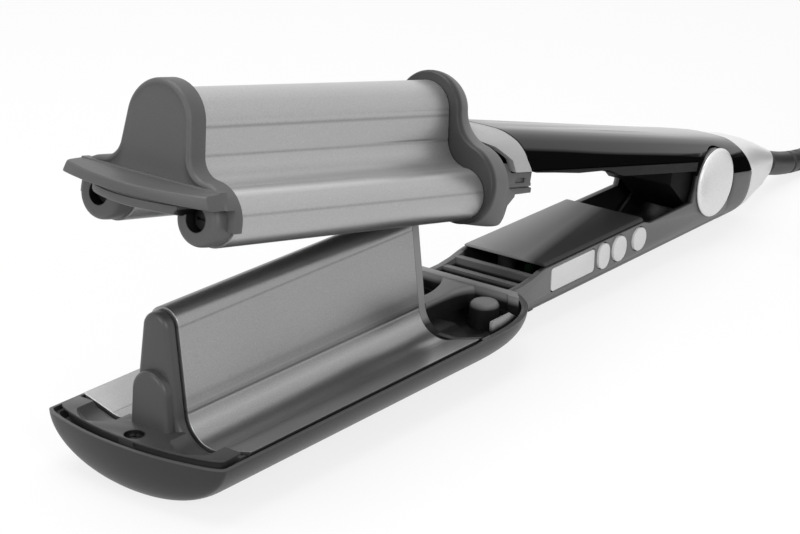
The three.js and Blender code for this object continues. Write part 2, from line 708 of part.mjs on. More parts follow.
const thermistor = () => rodX(60, 68, BARREL_Y, TROUGH_FLOOR - SEAT - 1.5, 1.5, 10);
const thermalFuse = () => rodX(74, 88, -BARREL_Y, TROUGH_FLOOR - SEAT - 2.2, 2.2, 12);

function lowerScrew(x, headBottom) {
  const head = rodZ(x, 0, headBottom, headBottom + 1.8, LOWER_SCREW_HEAD / 2, 16);
  const cross = box(x - 2, x + 2, -0.5, 0.5, headBottom + 1, headBottom + 3).add(
    box(x - 0.5, x + 0.5, -2, 2, headBottom + 1, headBottom + 3),
  );
  const shank = rodZ(x, 0, KEEL + 7.5, headBottom + 0.5, 1, 10);
  return head.subtract(cross).add(shank);
}

// Hinge

function hingeDisc(side) {
  const base = HANDLE_HALF_WIDTH + SLIDE;
  const profile = [[0, 0], [DISC_RADIUS, 0], [DISC_RADIUS, 0.7]];
  const steps = 4;
  for (let i = 1; i <= steps; i++) {
    const angle = (Math.PI / 2) * (i / steps);
    profile.push([(DISC_RADIUS - 0.3) * Math.cos(angle), 0.7 + (DISC_RISE - 0.7) * Math.sin(angle)]);
  }
  profile[profile.length - 1][0] = 0;
  return turned(profile, point(HINGE_X, side * base, HINGE_Z), point(HINGE_X, side * 2 * base, HINGE_Z), 28);
}

const hingePin = () =>
  rodY(HINGE_X, -HANDLE_HALF_WIDTH + 0.1, HANDLE_HALF_WIDTH - 0.1, HINGE_Z, PIN_DIAMETER / 2, 20);

const BUSH_INNER = PIN_DIAMETER / 2 + SLIDE;
const BUSH_OUTER = BUSH_INNER + BUSH_WALL;

function hingeBush(side) {
  const end = (side < 0 ? KNUCKLE_NEAR : KNUCKLE_FAR) - 0.4;
  const profile = [[BUSH_INNER, 2], [BUSH_OUTER, 2], [BUSH_OUTER, end], [BUSH_INNER, end], [BUSH_INNER, 2]];
  return turned(profile, point(HINGE_X, 0, HINGE_Z), point(HINGE_X, side, HINGE_Z), 20);
}

function openingSpring() {
  const start = KNUCKLE_FAR + SLIDE;
  const end = HANDLE_HALF_WIDTH - HANDLE_WALL - SLIDE;
  const inner = PIN_DIAMETER / 2 + SLIDE;
  const ring = rodY(HINGE_X, start, end, HINGE_Z, inner + SPRING_WIRE, 20).subtract(
    rodY(HINGE_X, start - 1, end + 1, HINGE_Z, inner, 20),
  );
  const middle = inner + SPRING_WIRE / 2;
  const y = (start + end) / 2;
  const lowerLeg = rod(
    point(HINGE_X, y, HINGE_Z - middle),
    point(HINGE_X - 18, y, LOWER_FLOOR + 2 * SEAT + SPRING_WIRE / 2),
    SPRING_WIRE / 2,
    8,
  );
  return ring.add(lowerLeg);
}

// Upper head
function upperWavePlate() {
  const outside = bellHalf(DOME_RADIUS, DOME_FILLET, BARREL_RADIUS);
  const barrel = arc(BARREL, BARREL_RADIUS, 0, FLANK_ANGLE - Math.PI, 14).slice(1);
  const inside = arc(TIP, RIDGE_TIP_RADIUS + CHANNEL_GAP, FLANK_ANGLE, Math.PI / 2, 6);
  const half = [...outside, ...barrel, ...inside];
  const far = half.map(([u, v]) => [-u, v]).reverse();
  const start = CAP_FRONT + CAP_DEPTH + SEAT;
  const body = alongX([...half, ...far.slice(1, -1)], start, UPPER_PLATE_END);
  const bores = barrelDishes(HEATER_DIAMETER / 2 + SEAT, start - 1, UPPER_PLATE_END + 1);
  return body.subtract(bores);
}

const barrelHeater = (side) =>
  rodX(CAP_FRONT + CAP_DEPTH + 6, PLATE_END - 4, side * BARREL_Y, BARREL_Z, HEATER_DIAMETER / 2, 18);

function barrelScrew(side) {
  const start = BARREL_SCREW_SEAT - SEAT - 2;
  const head = rodX(start, start + 2, side * BARREL_Y, BARREL_Z, SCREW_HOLE_DIAMETER / 2 - SLIDE, 14);
  const y = side * BARREL_Y;
  const slot = box(start - 1, start + 0.8, y - 2, y + 2, BARREL_Z - 0.4, BARREL_Z + 0.4);
  const shank = rodX(start + 1, CAP_FRONT + CAP_DEPTH + 5, side * BARREL_Y, BARREL_Z, 1.3, 10);
  return head.subtract(slot).add(shank);
}

function chamferedBell(start, end) {
  const level = (proud, x) =>
    bellAround(proud, SKIRT_BOTTOM).map(([y, z]) => point(x, y, z));
  return loft([
    level(CAP_PROUD - CAP_CHAMFER, start),
    level(CAP_PROUD, start + CAP_CHAMFER),
    level(CAP_PROUD, end),
  ].map((ring) => ring.reverse()));
}

function lipOutline() {
  const steps = 10;
  const front = Array.from({ length: steps + 1 }, (_, i) => {
    const y = LIP_HALF_WIDTH * (1 - (2 * i) / steps);
    return [LIP_CORNER_X - LIP_SAGITTA * (1 - (y / LIP_HALF_WIDTH) ** 2), y];
  });
  return [...front, [CAP_FRONT + 2, -LIP_HALF_WIDTH], [CAP_FRONT + 2, LIP_HALF_WIDTH]];
}

function barrelNose(side) {
  const length = CAP_FRONT + CAP_DEPTH - NOSE_START;
  const full = BARREL_RADIUS - 0.2;
  const profile = [[0, 0], [full - 1.7, 0], [full - 0.6, 1], [full, 3.4], [full, length], [0, length]];
  const start = point(NOSE_START, side * BARREL_Y, BARREL_Z);
  return turned(profile, start, start.clone().setX(NOSE_START + 1), 18);
}

function upperFrontCap() {
  const end = CAP_FRONT + CAP_DEPTH;
  const reach = LIP_CORNER_X - LIP_SAGITTA;
  const slope = [
    [reach, LIP_EDGE_BOTTOM],
    [CAP_FRONT + 2, LIP_EDGE_BOTTOM],
    [CAP_FRONT + 2, LIP_ROOT_TOP],
    [reach, LIP_EDGE_TOP],
  ];
  const lip = alongZ(lipOutline(), LIP_EDGE_BOTTOM, LIP_ROOT_TOP).intersect(
    alongY(slope, -LIP_HALF_WIDTH - 1, LIP_HALF_WIDTH + 1),
  );
  const web = box(CAP_FRONT, CAP_FRONT + CAP_FACE, -BARREL_Y, BARREL_Y, WEB_BOTTOM, LIP_ROOT_TOP);
  const between = box(CAP_FRONT - 1, end + 1, -BARREL_Y + 6, BARREL_Y - 6, SKIRT_BOTTOM - 1, WEB_BOTTOM);
  const pocketSide = BARREL_Y + BARREL_RADIUS - 4;
  const pockets = [[-40, -pocketSide], [pocketSide, 40]].map(([from, to]) =>
    box(CAP_FRONT - 1, CAP_FRONT + 3.6, from, to, SKIRT_BOTTOM - 1, LIP_EDGE_BOTTOM),
  );
  const shanks = barrelDishes(1.65, NOSE_START - 1, end + 1);
  const heads = barrelDishes(SCREW_HOLE_DIAMETER / 2, NOSE_START - 1, BARREL_SCREW_SEAT);
  return chamferedBell(CAP_FRONT, end)
    .subtract(between)
    .subtract(pockets[0])
    .subtract(pockets[1])
    .add(barrelNose(-1))
    .add(barrelNose(1))
    .add(web)
    .subtract(channel(0.2, CAP_FRONT + CAP_FACE, end + 1))
    .add(lip)
    .subtract(shanks)
    .subtract(heads);
}

// Outline of the rear flange; its tip and its lobes are drawn in by different amounts.
function rearOutline(tipInset, lobeInset) {
  const tip = DOME_RADIUS + REAR_TIP_PROUD - tipInset;
  const lobe = REAR_LOBE_RADIUS - lobeInset;
  const half = [
    ...bellHalf(tip, REAR_FILLET + lobeInset, lobe, REAR_LOBE),
    ...arc(REAR_LOBE, lobe, 0, -0.75 * Math.PI, 8).slice(1),
  ];
  return [...half, ...mirrored(half).slice(0, -1)];
}

// The flange's domed top falls off towards its back.
const REAR_STEPS = [[0, 0.3, 0.5], [0.1, 0, 0], [0.5, 0.3, 0], [0.75, 1.3, 0.1], [1, 2.6, 0.7]];

// Behind the flange its two lobes run on as cheeks beside the neck.
function rearCheeks() {
  const side = [
    [REAR_CAP_END - 0.5, -4],
    [REAR_CAP_END - 0.5, 17.5],
    [REAR_CAP_END + 0.6, 16],
    [REAR_CAP_END + CHEEK_REACH, 7],
    [REAR_CAP_END + 0.2, -3.2],
  ];
  const middle = box(REAR_CAP_END - 1, REAR_CAP_END + 9, -CHEEK_INNER, CHEEK_INNER, -10, 20);
  const lobes = alongX(rearOutline(2.6, 0.7), REAR_CAP_END - 0.5, REAR_CAP_END + 6);
  return lobes.intersect(alongY(side, -40, 40)).subtract(middle);
}

function upperRearCap() {
  const depth = REAR_CAP_END - REAR_CAP_START;
  const rings = REAR_STEPS.map(([share, tipInset, lobeInset]) =>
    rearOutline(tipInset, lobeInset).map(([y, z]) => point(REAR_CAP_START + share * depth, y, z)),
  );
  const body = loft(rings.map((ring) => ring.reverse()));
  const inside = rearOutline(REAR_CAP_WALL + 2, REAR_CAP_WALL + 0.4);
  const hollow = alongX(inside, REAR_CAP_START + REAR_CAP_FACE, REAR_CAP_END + 9);
  const wires = barrelDishes(2.5, REAR_CAP_START - 1, REAR_CAP_END);
  return body.add(rearCheeks()).subtract(hollow).subtract(wires);
}

// Neck and upper handle

const TOP_LINE = [
  [127, 26.5],
  [160, 25.4],
  [184, 24.4],
  [227, 22.8],
  [254, 21.9],
  [275, 21.3],
  [290, 20.7],
  [TAIL_SEAM, 19.9],
];

function topAt(x) {
  const next = TOP_LINE.findIndex(([station]) => station >= x);
  const [x1, z1] = TOP_LINE[Math.max(next, 1)];
  const [x0, z0] = TOP_LINE[Math.max(next, 1) - 1];
  return z0 + ((z1 - z0) * (x - x0)) / (x1 - x0);
}

function widthAt(x) {
  const share = Math.max(0, (x - TAIL_TAPER_START) / (TAIL_SEAM - TAIL_TAPER_START));
  return HANDLE_HALF_WIDTH - (HANDLE_HALF_WIDTH - TAIL_HALF_WIDTH) * share ** 1.5;
}

function upperRing(x, bottom, inset) {
  const half = widthAt(x) - inset;
  const top = topAt(x) - inset;
  const radius = UPPER_CORNER - inset;
  const corner = arc([half - radius, top - radius], radius, 0, Math.PI / 2 - 0.12, 5);
  const crown = [[half - radius - 3, top + 0.15]];
  const right = [[half, bottom], ...corner, ...crown];
  return [...right, ...mirrored(right)].map(([y, z]) => point(x, y, z));
}

const upperBody = (stations, bottom, inset) =>
  loft(stations.map((x) => upperRing(x, bottom, inset)));

const NECK_EDGE = [[NECK_END, 10], [NECK_END, 13.4], [153.4, 17.5], [149.7, 22.8], [142.8, 27.5], [137, 30]];
const SHELL_START = 138;
const SHELL_STATIONS = [SHELL_START, 160, 184, 227, 254, TAIL_TAPER_START, 290, 300, TAIL_SEAM];

function upperHandleShell() {
  const outer = upperBody(SHELL_STATIONS, TAIL_SPLIT_Z, 0);
  const stations = [SHELL_START - 1, ...SHELL_STATIONS.slice(1)];
  const inner = upperBody(stations, TAIL_SPLIT_Z - 1, HANDLE_WALL);
  const below = box(SHELL_START - 1, UPPER_COVER_END + SEAT, -20, 20, 0, UPPER_SPLIT_Z);
  const earRoom = rodY(HINGE_X, -20, 20, HINGE_Z, EAR_RADIUS + SWING, 40);
  return outer
    .subtract(inner)
    .subtract(below)
    .subtract(earRoom)
    .subtract(beforeNeckEdge(SEAT))
    .subtract(behindSeam(-SEAT / 2));
}

// The space in front of the curved edge where the neck meets the handle.
const beforeNeckEdge = (gap) =>
  alongY([[100, 10], ...NECK_EDGE, [100, 30]], -20, 20).translate([1.2 * gap, 0, gap]);

// The space behind the slanted joint of the tail, moved back by a gap square to both its lines.
function behindSeam(gap) {
  const lift = ((Math.hypot(SEAM_RISE, SEAM_RUN) - SEAM_RISE) / SEAM_RUN) * gap;
  const outline = [
    [TAIL_SEAM - 2 * SEAM_RUN, SEAM_CORNER_Z + 2 * SEAM_RISE],
    [TAIL_SEAM, SEAM_CORNER_Z],
    [TAIL_SEAM, -30],
    [TAIL_SEAM + 60, -30],
    [TAIL_SEAM + 60, SEAM_CORNER_Z + 2 * SEAM_RISE],
  ];
  return alongY(outline, -30, 30).translate([gap, 0, lift]);
}

function upperInnerCover() {
  const step = UPPER_STEP_START;
  const profile = [
    [UPPER_COVER_START, UPPER_COVER_BOTTOM + 0.9],
    [170, UPPER_COVER_BOTTOM + 0.6],
    [185, UPPER_COVER_BOTTOM],
    [step, UPPER_COVER_BOTTOM + 0.4],
    [step + 6, UPPER_STEP_BOTTOM + 0.7],
    [step + 10, UPPER_STEP_BOTTOM],
    [UPPER_COVER_END, UPPER_STEP_BOTTOM],
    [UPPER_COVER_END, UPPER_SPLIT_Z - SEAT],
    [UPPER_COVER_START, UPPER_SPLIT_Z - SEAT],
  ];
  const body = alongY(profile, -HANDLE_HALF_WIDTH, HANDLE_HALF_WIDTH);
  const room = KNUCKLE_NEAR + SEAT;
  const relief = box(step + 14, KNUCKLE_FRONT - 4, -12, 12, UPPER_STEP_BOTTOM + 1.6, 20);
  const knuckleRoom = box(KNUCKLE_FRONT - SEAT, UPPER_COVER_END + 1, -room, room, 0, 20);
  const screws = UPPER_SCREWS.map((x) =>
    rodZ(x, 0, 5, 20, 1.5, 12).add(rodZ(x, 0, 5, UPPER_SCREW_SEAT, COVER_SCREW_HEAD + SLIDE, 14)),
  );
  return [relief, knuckleRoom, ...screws].reduce((sum, next) => sum.subtract(next), body);
}

const upperScrew = (x) =>
  rodZ(x, 0, UPPER_SCREW_SEAT - 1, UPPER_SCREW_SEAT - SEAT, COVER_SCREW_HEAD, 14).add(
    rodZ(x, 0, UPPER_SCREW_SEAT - 0.6, UPPER_SPLIT_Z + 6, 1, 10),
  );

// The front of the neck follows the tilted back of the head.
const neckFront = (z) => REAR_CAP_END + SEAT - (z - BARREL_Z) * Math.tan(HEAD_TILT);

function upperNeck() {
  const side = [
    [neckFront(30), 30],
    [neckFront(23.6), 23.6],
    [136.3, 21.7],
    [145.1, 17.6],
    [148, 13.8],
    [NECK_END, 13.8],
    ...NECK_EDGE.slice(2),
  ];
  const outer = upperBody([120, SHELL_STATIONS[1]], TAIL_SPLIT_Z, 0);
  const inner = upperBody([119, SHELL_STATIONS[1]], TAIL_SPLIT_Z - 1, HANDLE_WALL + 0.6);
  return outer.subtract(inner).intersect(alongY(side, -17, 17));
}

function neckBracket() {
  const side = [
    [neckFront(7.2), 7.2],
    [154, 7.2],
    [154, 9.6],
    [UPPER_COVER_START - SEAT, 9.6],
    [UPPER_COVER_START - SEAT, 13.4],
    [147.4, 13.4],
    [144.2, 16.4],
    [neckFront(16.4), 16.4],
  ];
  const channelRoom = box(120, 165, -11.5, 11.5, 9.2, 20);
  return alongY(side, -14.6, 14.6).subtract(channelRoom);
}

function hingeKnuckle() {
  const eye = rodY(HINGE_X, -KNUCKLE_NEAR, KNUCKLE_NEAR, HINGE_Z, KNUCKLE_RADIUS, 32);
  const side = [
    [KNUCKLE_FRONT, LOWER_COVER_TOP + SWING],
    [HINGE_X - 8, HINGE_Z - KNUCKLE_RADIUS + 0.2],
    [HINGE_X + 8, 2],
    [HINGE_X + 8, 30],
    [KNUCKLE_FRONT, 30],
  ];
  const block = alongY(side, -KNUCKLE_NEAR, KNUCKLE_NEAR);
  const room = upperBody([240, 254, TAIL_TAPER_START, 290], -30, HANDLE_WALL + 2 * SEAT);
  const springRoom = box(254, HINGE_X + 20, KNUCKLE_FAR, 20, -20, HINGE_Z + 8);
  const bore = rodY(HINGE_X, -20, 20, HINGE_Z, BUSH_OUTER + SLIDE, 24);
  return block.add(eye).intersect(room).subtract(springRoom).subtract(bore);
}

// Tail

function tailRing(x, halfWidth, low, high) {
  const middle = (low + high) / 2;
  const half = (high - low) / 2;
  const count = 28;
  return Array.from({ length: count }, (_, i) => {
    const angle = (2 * Math.PI * i) / count;
    const lean = Math.sign(Math.cos(angle)) * Math.abs(Math.cos(angle)) ** 0.8;
    const rise = Math.sign(Math.sin(angle)) * Math.abs(Math.sin(angle)) ** 0.8;
    return point(x, halfWidth * lean, middle + half * rise);
  });
}

const TAIL_STATIONS = [
  [286, 15.2, -11.4, 20.9],
  [296, 14.2, -11, 20.5],
  [TAIL_SEAM - 3, 12.7, -9, 20],
  [TAIL_END - 23, 10.9, -7, 18.8],
  [TAIL_END - 12, 7.9, -3.2, 16.8],
  [TAIL_END - 6, 6.6, -1.1, 15.4],
  [TAIL_END + 1, 5.1, TAIL_AXIS_Z - 5.1, TAIL_AXIS_Z + 5.1],
];

function tailLoft(inset, from, to) {
  const body = loft(
    TAIL_STATIONS.map(([x, half, low, high]) => tailRing(x, half - inset, low + inset, high - inset)),
  );
  return body.intersect(box(from, to, -30, 30, -30, 40));
}

const tailAxisPoint = (distance) =>
  point(TAIL_END + distance * Math.cos(TAIL_TILT), 0, TAIL_AXIS_Z - distance * Math.sin(TAIL_TILT));

const SHELL_CLEAR = SHELL_REACH + SWING;

function tailHousing() {
  const body = tailLoft(0, 286.5, TAIL_SEAM).intersect(box(280, 320, -20, 20, -20, TAIL_SPLIT_Z - SEAT));
  const hollow = tailLoft(2, 286, TAIL_SEAM + 1);
  const heelRoom = rodY(HINGE_X, -20, 20, HINGE_Z, SHELL_CLEAR, 48);
  return body.subtract(hollow).subtract(heelRoom).subtract(behindSeam(-SEAT / 2));
}

function tailCap() {
  const before = rod(tailAxisPoint(-70), tailAxisPoint(0), 40, 8);
  const outer = tailLoft(0, 287, TAIL_END + 1).intersect(behindSeam(SEAT / 2)).intersect(before);
  const inner = tailLoft(1.6, 286.5, TAIL_END - 6);
  const bore = rod(tailAxisPoint(-30), tailAxisPoint(5), SWIVEL_NECK + SLIDE, 24);
  return outer.subtract(inner).subtract(bore);
}

// The collar turns in the tail's bore; its flange inside keeps it from coming out.
function swivelCollar() {
  const profile = [
    [0, -9.5],
    [SWIVEL_FLANGE, -9.5],
    [SWIVEL_FLANGE, -7],
    [SWIVEL_NECK, -7],
    [SWIVEL_NECK, SEAT],
    [COLLAR_RADIUS, SEAT],
    [COLLAR_RADIUS, 2.4],
    [0, 2.4],
  ];
  return turned(profile, tailAxisPoint(0), tailAxisPoint(1), 24);
}

const RELIEF_START = 2.4 + SEAT;

// Middle line of the bend protector: it leaves along the swivel and bends up a little.
function reliefPoint(h) {
  const start = tailAxisPoint(RELIEF_START);
  const radius = RELIEF_LENGTH / RELIEF_BEND;
  const from = -TAIL_TILT;
  const to = from + h / radius;
  const forward = radius * (Math.sin(to) - Math.sin(from));
  return start.add(point(forward, 0, radius * (Math.cos(from) - Math.cos(to))));
}

function strainRelief() {
  const grooves = 5;
  const taper = (h) => RELIEF_START_RADIUS + (RELIEF_END_RADIUS - RELIEF_START_RADIUS) * (h / RELIEF_LENGTH);
  const profile = [[0, 0]];
  for (let i = 0; i < grooves; i++) {
    const h = 12 + i * 6;
    profile.push([h, 0], [h + 0.8, 0.5], [h + 1.6, 0.5], [h + 2.4, 0]);
  }
  profile.push([RELIEF_LENGTH, 0]);
  const sides = 12;
  const rings = profile.map(([h, sunk]) => {
    const middle = reliefPoint(h);
    const ahead = reliefPoint(h + 0.01).sub(reliefPoint(h - 0.01)).normalize();
    const across = point(0, 1, 0);
    const up = ahead.clone().cross(across);
    return Array.from({ length: sides }, (_, k) => {
      const angle = (2 * Math.PI * k) / sides;
      const radius = taper(h) - sunk;
      return middle
        .clone()
        .addScaledVector(across, radius * Math.cos(angle))
        .addScaledVector(up, radius * Math.sin(angle));
    });
  });
  return loft(rings);
}

// Lead on the table

const opened = (p) => {
  const out = point(p.x - HINGE_X, p.y, p.z - HINGE_Z).applyAxisAngle(point(0, 1, 0), OPEN_ANGLE);
  return out.add(point(HINGE_X, 0, HINGE_Z));
};
const LEAD_SEAT = SEAT + 0.16; // the ends of the lead stand slightly aslant
const RELIEF_END = opened(reliefPoint(RELIEF_LENGTH + LEAD_SEAT));

const COIL_OUTER_RADIUS = COIL_INNER_RADIUS + COIL_PITCH * COIL_TURNS_A_LAYER;
const COIL_Z = KEEL + TIE_THICKNESS + 2 * SLIDE + CORD_RADIUS;
const COIL_CENTRE = point(COIL_CENTRE_X, COIL_ASIDE - COIL_OUTER_RADIUS, COIL_Z);

// Radius and height along the coil: it spirals in, climbs in half a turn, spirals out, and so on.
function coilRoute() {
  const route = [];
  const put = (turn, radius, height) => {
    const angle = Math.PI / 2 - 2 * Math.PI * turn;
    route.push(
      point(
        COIL_CENTRE.x + radius * Math.cos(angle),
        COIL_CENTRE.y + radius * Math.sin(angle),
        COIL_CENTRE.z + height,
      ),
    );
  };
  let turn = 0;
  for (let layer = 0; layer < COIL_LAYERS; layer++) {
    const inwards = layer % 2 === 0;
    const steps = COIL_TURNS_A_LAYER * COIL_STEPS_A_TURN;
    for (let i = 0; i < steps; i++) {
      const share = i / steps;
      const radius = inwards
        ? COIL_OUTER_RADIUS - COIL_PITCH * COIL_TURNS_A_LAYER * share
        : COIL_INNER_RADIUS + COIL_PITCH * COIL_TURNS_A_LAYER * share;
      put(turn + i / COIL_STEPS_A_TURN, radius, layer * COIL_PITCH);
    }
    turn += COIL_TURNS_A_LAYER;
    if (layer === COIL_LAYERS - 1) break;
    const half = COIL_STEPS_A_TURN / 2;
    for (let i = 0; i < half; i++) {
      const radius = inwards ? COIL_INNER_RADIUS : COIL_OUTER_RADIUS;
      put(turn + i / COIL_STEPS_A_TURN, radius, (layer + i / half) * COIL_PITCH);
    }
    turn += 0.5;
  }
  put(turn, COIL_OUTER_RADIUS, (COIL_LAYERS - 1) * COIL_PITCH);
  return route;
}

// A closed tube of flat rings along a list of points, square to the way at each.
function tube(route, radius, sides) {
  const rings = route.map((p, i) => {
    const before = route[Math.max(i - 1, 0)];
    const after = route[Math.min(i + 1, route.length - 1)];
    const ahead = after.clone().sub(before).normalize();
    const across = point(0, 0, 1).cross(ahead).normalize();
    const up = ahead.clone().cross(across);
    return Array.from({ length: sides }, (_, k) => {
      const angle = (2 * Math.PI * (k + 0.5)) / sides;
      return p
        .clone()
        .addScaledVector(across, radius * Math.cos(angle))
        .addScaledVector(up, radius * Math.sin(angle));
    });
  });
  return loft(rings);
}

function leastGap(route, radius) {
  const dense = route.flatMap((p, i) =>
    i + 1 < route.length ? [0, 0.25, 0.5, 0.75].map((t) => p.clone().lerp(route[i + 1], t)) : [p],
  );
  const skip = 4 * (COIL_STEPS_A_TURN / 3);
  let least = Infinity;
  dense.forEach((p, i) => {
    for (let j = i + skip; j < dense.length; j++) least = Math.min(least, p.distanceTo(dense[j]));
  });
  return least - 2 * radius;
}

const coil = coilRoute();
const coilWithEnds = [
  coil[0].clone().add(point(-CORD_DIAMETER, 0, 0)),
  ...coil,
  coil[coil.length - 1].clone().add(point(-CORD_DIAMETER, 0, 0)),
];

// The lead swings aside in two equal arcs: a parabola for each half of the way.
const leadEnd = coilWithEnds[0].clone().add(point(-LEAD_SEAT, 0, 0));
const leadRoute = Array.from({ length: 9 }, (_, i) => {
  const share = i / 8;
  const swing = share < 0.5 ? 2 * share ** 2 : 1 - 2 * (1 - share) ** 2;
  const height = THREE.MathUtils.lerp(RELIEF_END.z, leadEnd.z, swing);
  return point(THREE.MathUtils.lerp(RELIEF_END.x, leadEnd.x, share), COIL_ASIDE * swing, height);
});

const coilOut = coilWithEnds[coilWithEnds.length - 1];
const TABLE_CORD_Z = KEEL + CORD_RADIUS + SLIDE;
const PLUG_AXIS_Z = KEEL + PLUG_THICKNESS / 2;
const endRoute = [
  coilOut.clone().add(point(-SEAT, 0, 0)),
  coilOut.clone().add(point(-4, 0, 0)),
  point(412, coilOut.y, coilOut.z - 0.8),
  point(398, coilOut.y, coilOut.z - 6),
  point(384, coilOut.y, coilOut.z - 13),
  point(372, coilOut.y, TABLE_CORD_Z + 3.4),
  point(360, coilOut.y, TABLE_CORD_Z + 1.6),
  point(348, coilOut.y, PLUG_AXIS_Z - 0.8),
  point(336, coilOut.y, PLUG_AXIS_Z),
  point(330, coilOut.y, PLUG_AXIS_Z),
];

function cordTube(points, steps) {
  const curve = new THREE.CatmullRomCurve3(points, false, "centripetal");
  const section = new THREE.Shape(
    arc([0, 0], CORD_RADIUS, 0, 2 * Math.PI, 10).slice(0, -1).map(([u, v]) => new THREE.Vector2(u, v)),
  );
  return solid(new THREE.ExtrudeGeometry(section, { steps, extrudePath: curve }));
}

function plugBody() {
  const end = endRoute[endRoute.length - 1];
  const start = end.x - SEAT;
  const steps = [
    [0, 4, 4],
    [8, 5, 4.6],
    [16, 9, PLUG_THICKNESS / 2],
    [24, PLUG_WIDTH / 2 - 1, PLUG_THICKNESS / 2],
    [PLUG_LENGTH - 1, PLUG_WIDTH / 2, PLUG_THICKNESS / 2],
    [PLUG_LENGTH, PLUG_WIDTH / 2 - 0.6, PLUG_THICKNESS / 2 - 0.6],
  ];
  return loft(
    steps.map(([along, half, thick]) =>
      roundedRectangle(-half, half, -thick, thick, Math.min(thick, half) * 0.6).map(([u, v]) =>
        point(start - along, end.y - u, end.z + v),
      ),
    ),
  );
}

function plugPin(side) {
  const end = endRoute[endRoute.length - 1];
  const face = end.x - SEAT - PLUG_LENGTH;
  const y = end.y + (side * PLUG_PIN_SPACING) / 2;
  const radius = PLUG_PIN_DIAMETER / 2;
  const length = PLUG_PIN_LENGTH;
  const profile = [[0, 0], [radius, 0], [radius, length - 1.2], [1, length], [0, length]];
  return turned(profile, point(face - SEAT, y, end.z), point(face - 10, y, end.z), 14);
}

function cordTie() {
  const middle = (COIL_INNER_RADIUS + COIL_OUTER_RADIUS) / 2;
  const half = (COIL_OUTER_RADIUS - COIL_INNER_RADIUS) / 2 + CORD_RADIUS + 2 * SLIDE;
  const low = COIL_Z - CORD_RADIUS - 2 * SLIDE;
  const high = COIL_Z + (COIL_LAYERS - 1) * COIL_PITCH + CORD_RADIUS + 2 * SLIDE;
  const outer = roundedRectangle(
    middle - half - TIE_THICKNESS,
    middle + half + TIE_THICKNESS,
    low - TIE_THICKNESS,
    high + TIE_THICKNESS,
    3,
  );
  const inner = roundedRectangle(middle - half, middle + half, low, high, 2);
  const band = alongY(outer, -TIE_WIDTH / 2, TIE_WIDTH / 2).subtract(
    alongY(inner, -TIE_WIDTH, TIE_WIDTH),
  );
  return band.translate([COIL_CENTRE.x, COIL_CENTRE.y, 0]);
}

// Assembly

const waver = new THREE.Group();
const scene = new THREE.Group();
waver.add(scene);

function put(parent, name, body, material) {
  const mesh = new THREE.Mesh(geometryOf(body), materials[material].clone());
  mesh.name = name;
  parent.add(mesh);
  return mesh;
}

const lowerArm = new THREE.Group();
const upperArm = new THREE.Group();
upperArm.position.set(HINGE_X, 0, HINGE_Z);
upperArm.rotation.y = OPEN_ANGLE;
const upper = new THREE.Group();
upper.position.set(-HINGE_X, 0, -HINGE_Z);
upperArm.add(upper);
const tilted = new THREE.Group();
tilted.position.set(CAP_FRONT, 0, BARREL_Z);
tilted.rotation.y = -HEAD_TILT;
const head = new THREE.Group();
head.position.set(-CAP_FRONT, 0, -BARREL_Z);
tilted.add(head);
upper.add(tilted);
const lead = new THREE.Group();
scene.add(lowerArm, upperArm, lead);

put(lowerArm, "lower_head_shell", lowerHeadShell(), "darkGrey");
put(lowerArm, "lower_wave_plate", lowerWavePlate(), "gunmetal");
put(lowerArm, "lower_front_cap", lowerFrontCap(), "capGrey");
put(lowerArm, "lower_rear_cap", lowerRearCap(), "black");
put(lowerArm, "lower_heater", lowerHeater(), "ceramic");
put(lowerArm, "heater_clamp", heaterClamp(), "steel");
put(lowerArm, "thermistor", thermistor(), "ceramic");
put(lowerArm, "thermal_fuse", thermalFuse(), "brass");
put(lowerArm, "lower_front_screw", lowerScrew(LOWER_SCREW_X, LOWER_SCREW_SEAT + SLIDE), "steel");
put(lowerArm, "lower_rear_screw", lowerScrew(REAR_SCREW_X, LOWER_SCREW_SEAT + SLIDE), "steel");
const shellHoles = COVER_SCREWS.map(coverScrewHole);
const handleShell = shellHoles.reduce((sum, hole) => sum.subtract(hole), lowerHandleShell());
put(lowerArm, "lower_handle_shell", handleShell, "darkGrey");
put(lowerArm, "lower_inner_cover", lowerInnerCover(), "midGrey");
COVER_SCREWS.forEach((x, i) => put(lowerArm, `lower_cover_screw_${i + 1}`, coverScrew(x), "steel"));
put(lowerArm, "display_window", displayWindow(), "paleGrey");
put(lowerArm, "control_board", controlBoard(), "board");
for (const button of BUTTONS) {
  put(lowerArm, button.name, buttonBody(button), "paleGrey");
  put(lowerArm, button.name.replace("button", "switch"), buttonSwitch(button), "black");
}
put(lowerArm, "hinge_pin", hingePin(), "steel");
put(lowerArm, "hinge_disc_near", hingeDisc(-1), "silver");
put(lowerArm, "hinge_disc_far", hingeDisc(1), "silver");
put(lowerArm, "opening_spring", openingSpring(), "steel");

put(head, "upper_wave_plate", upperWavePlate(), "silver");
put(head, "upper_front_cap", upperFrontCap(), "capGrey");
put(head, "upper_rear_cap", upperRearCap(), "capGrey");
for (const [side, where] of [[-1, "near"], [1, "far"]]) {
  put(head, `barrel_heater_${where}`, barrelHeater(side), "ceramic");
  put(head, `barrel_screw_${where}`, barrelScrew(side), "steel");
  put(upper, `hinge_bush_${where}`, hingeBush(side), "brass");
}
put(upper, "upper_neck", upperNeck(), "paleGrey");
put(upper, "neck_bracket", neckBracket(), "darkGrey");
put(upper, "upper_handle_shell", upperHandleShell(), "gloss");
put(upper, "upper_inner_cover", upperInnerCover(), "black");
UPPER_SCREWS.forEach((x, i) => put(upper, `upper_cover_screw_${i + 1}`, upperScrew(x), "steel"));
put(upper, "hinge_knuckle", hingeKnuckle(), "black");
put(upper, "tail_housing", tailHousing(), "darkGrey");
put(upper, "tail_cap", tailCap(), "silver");
put(upper, "swivel_collar", swivelCollar(), "cord");
put(upper, "strain_relief", strainRelief(), "cord");

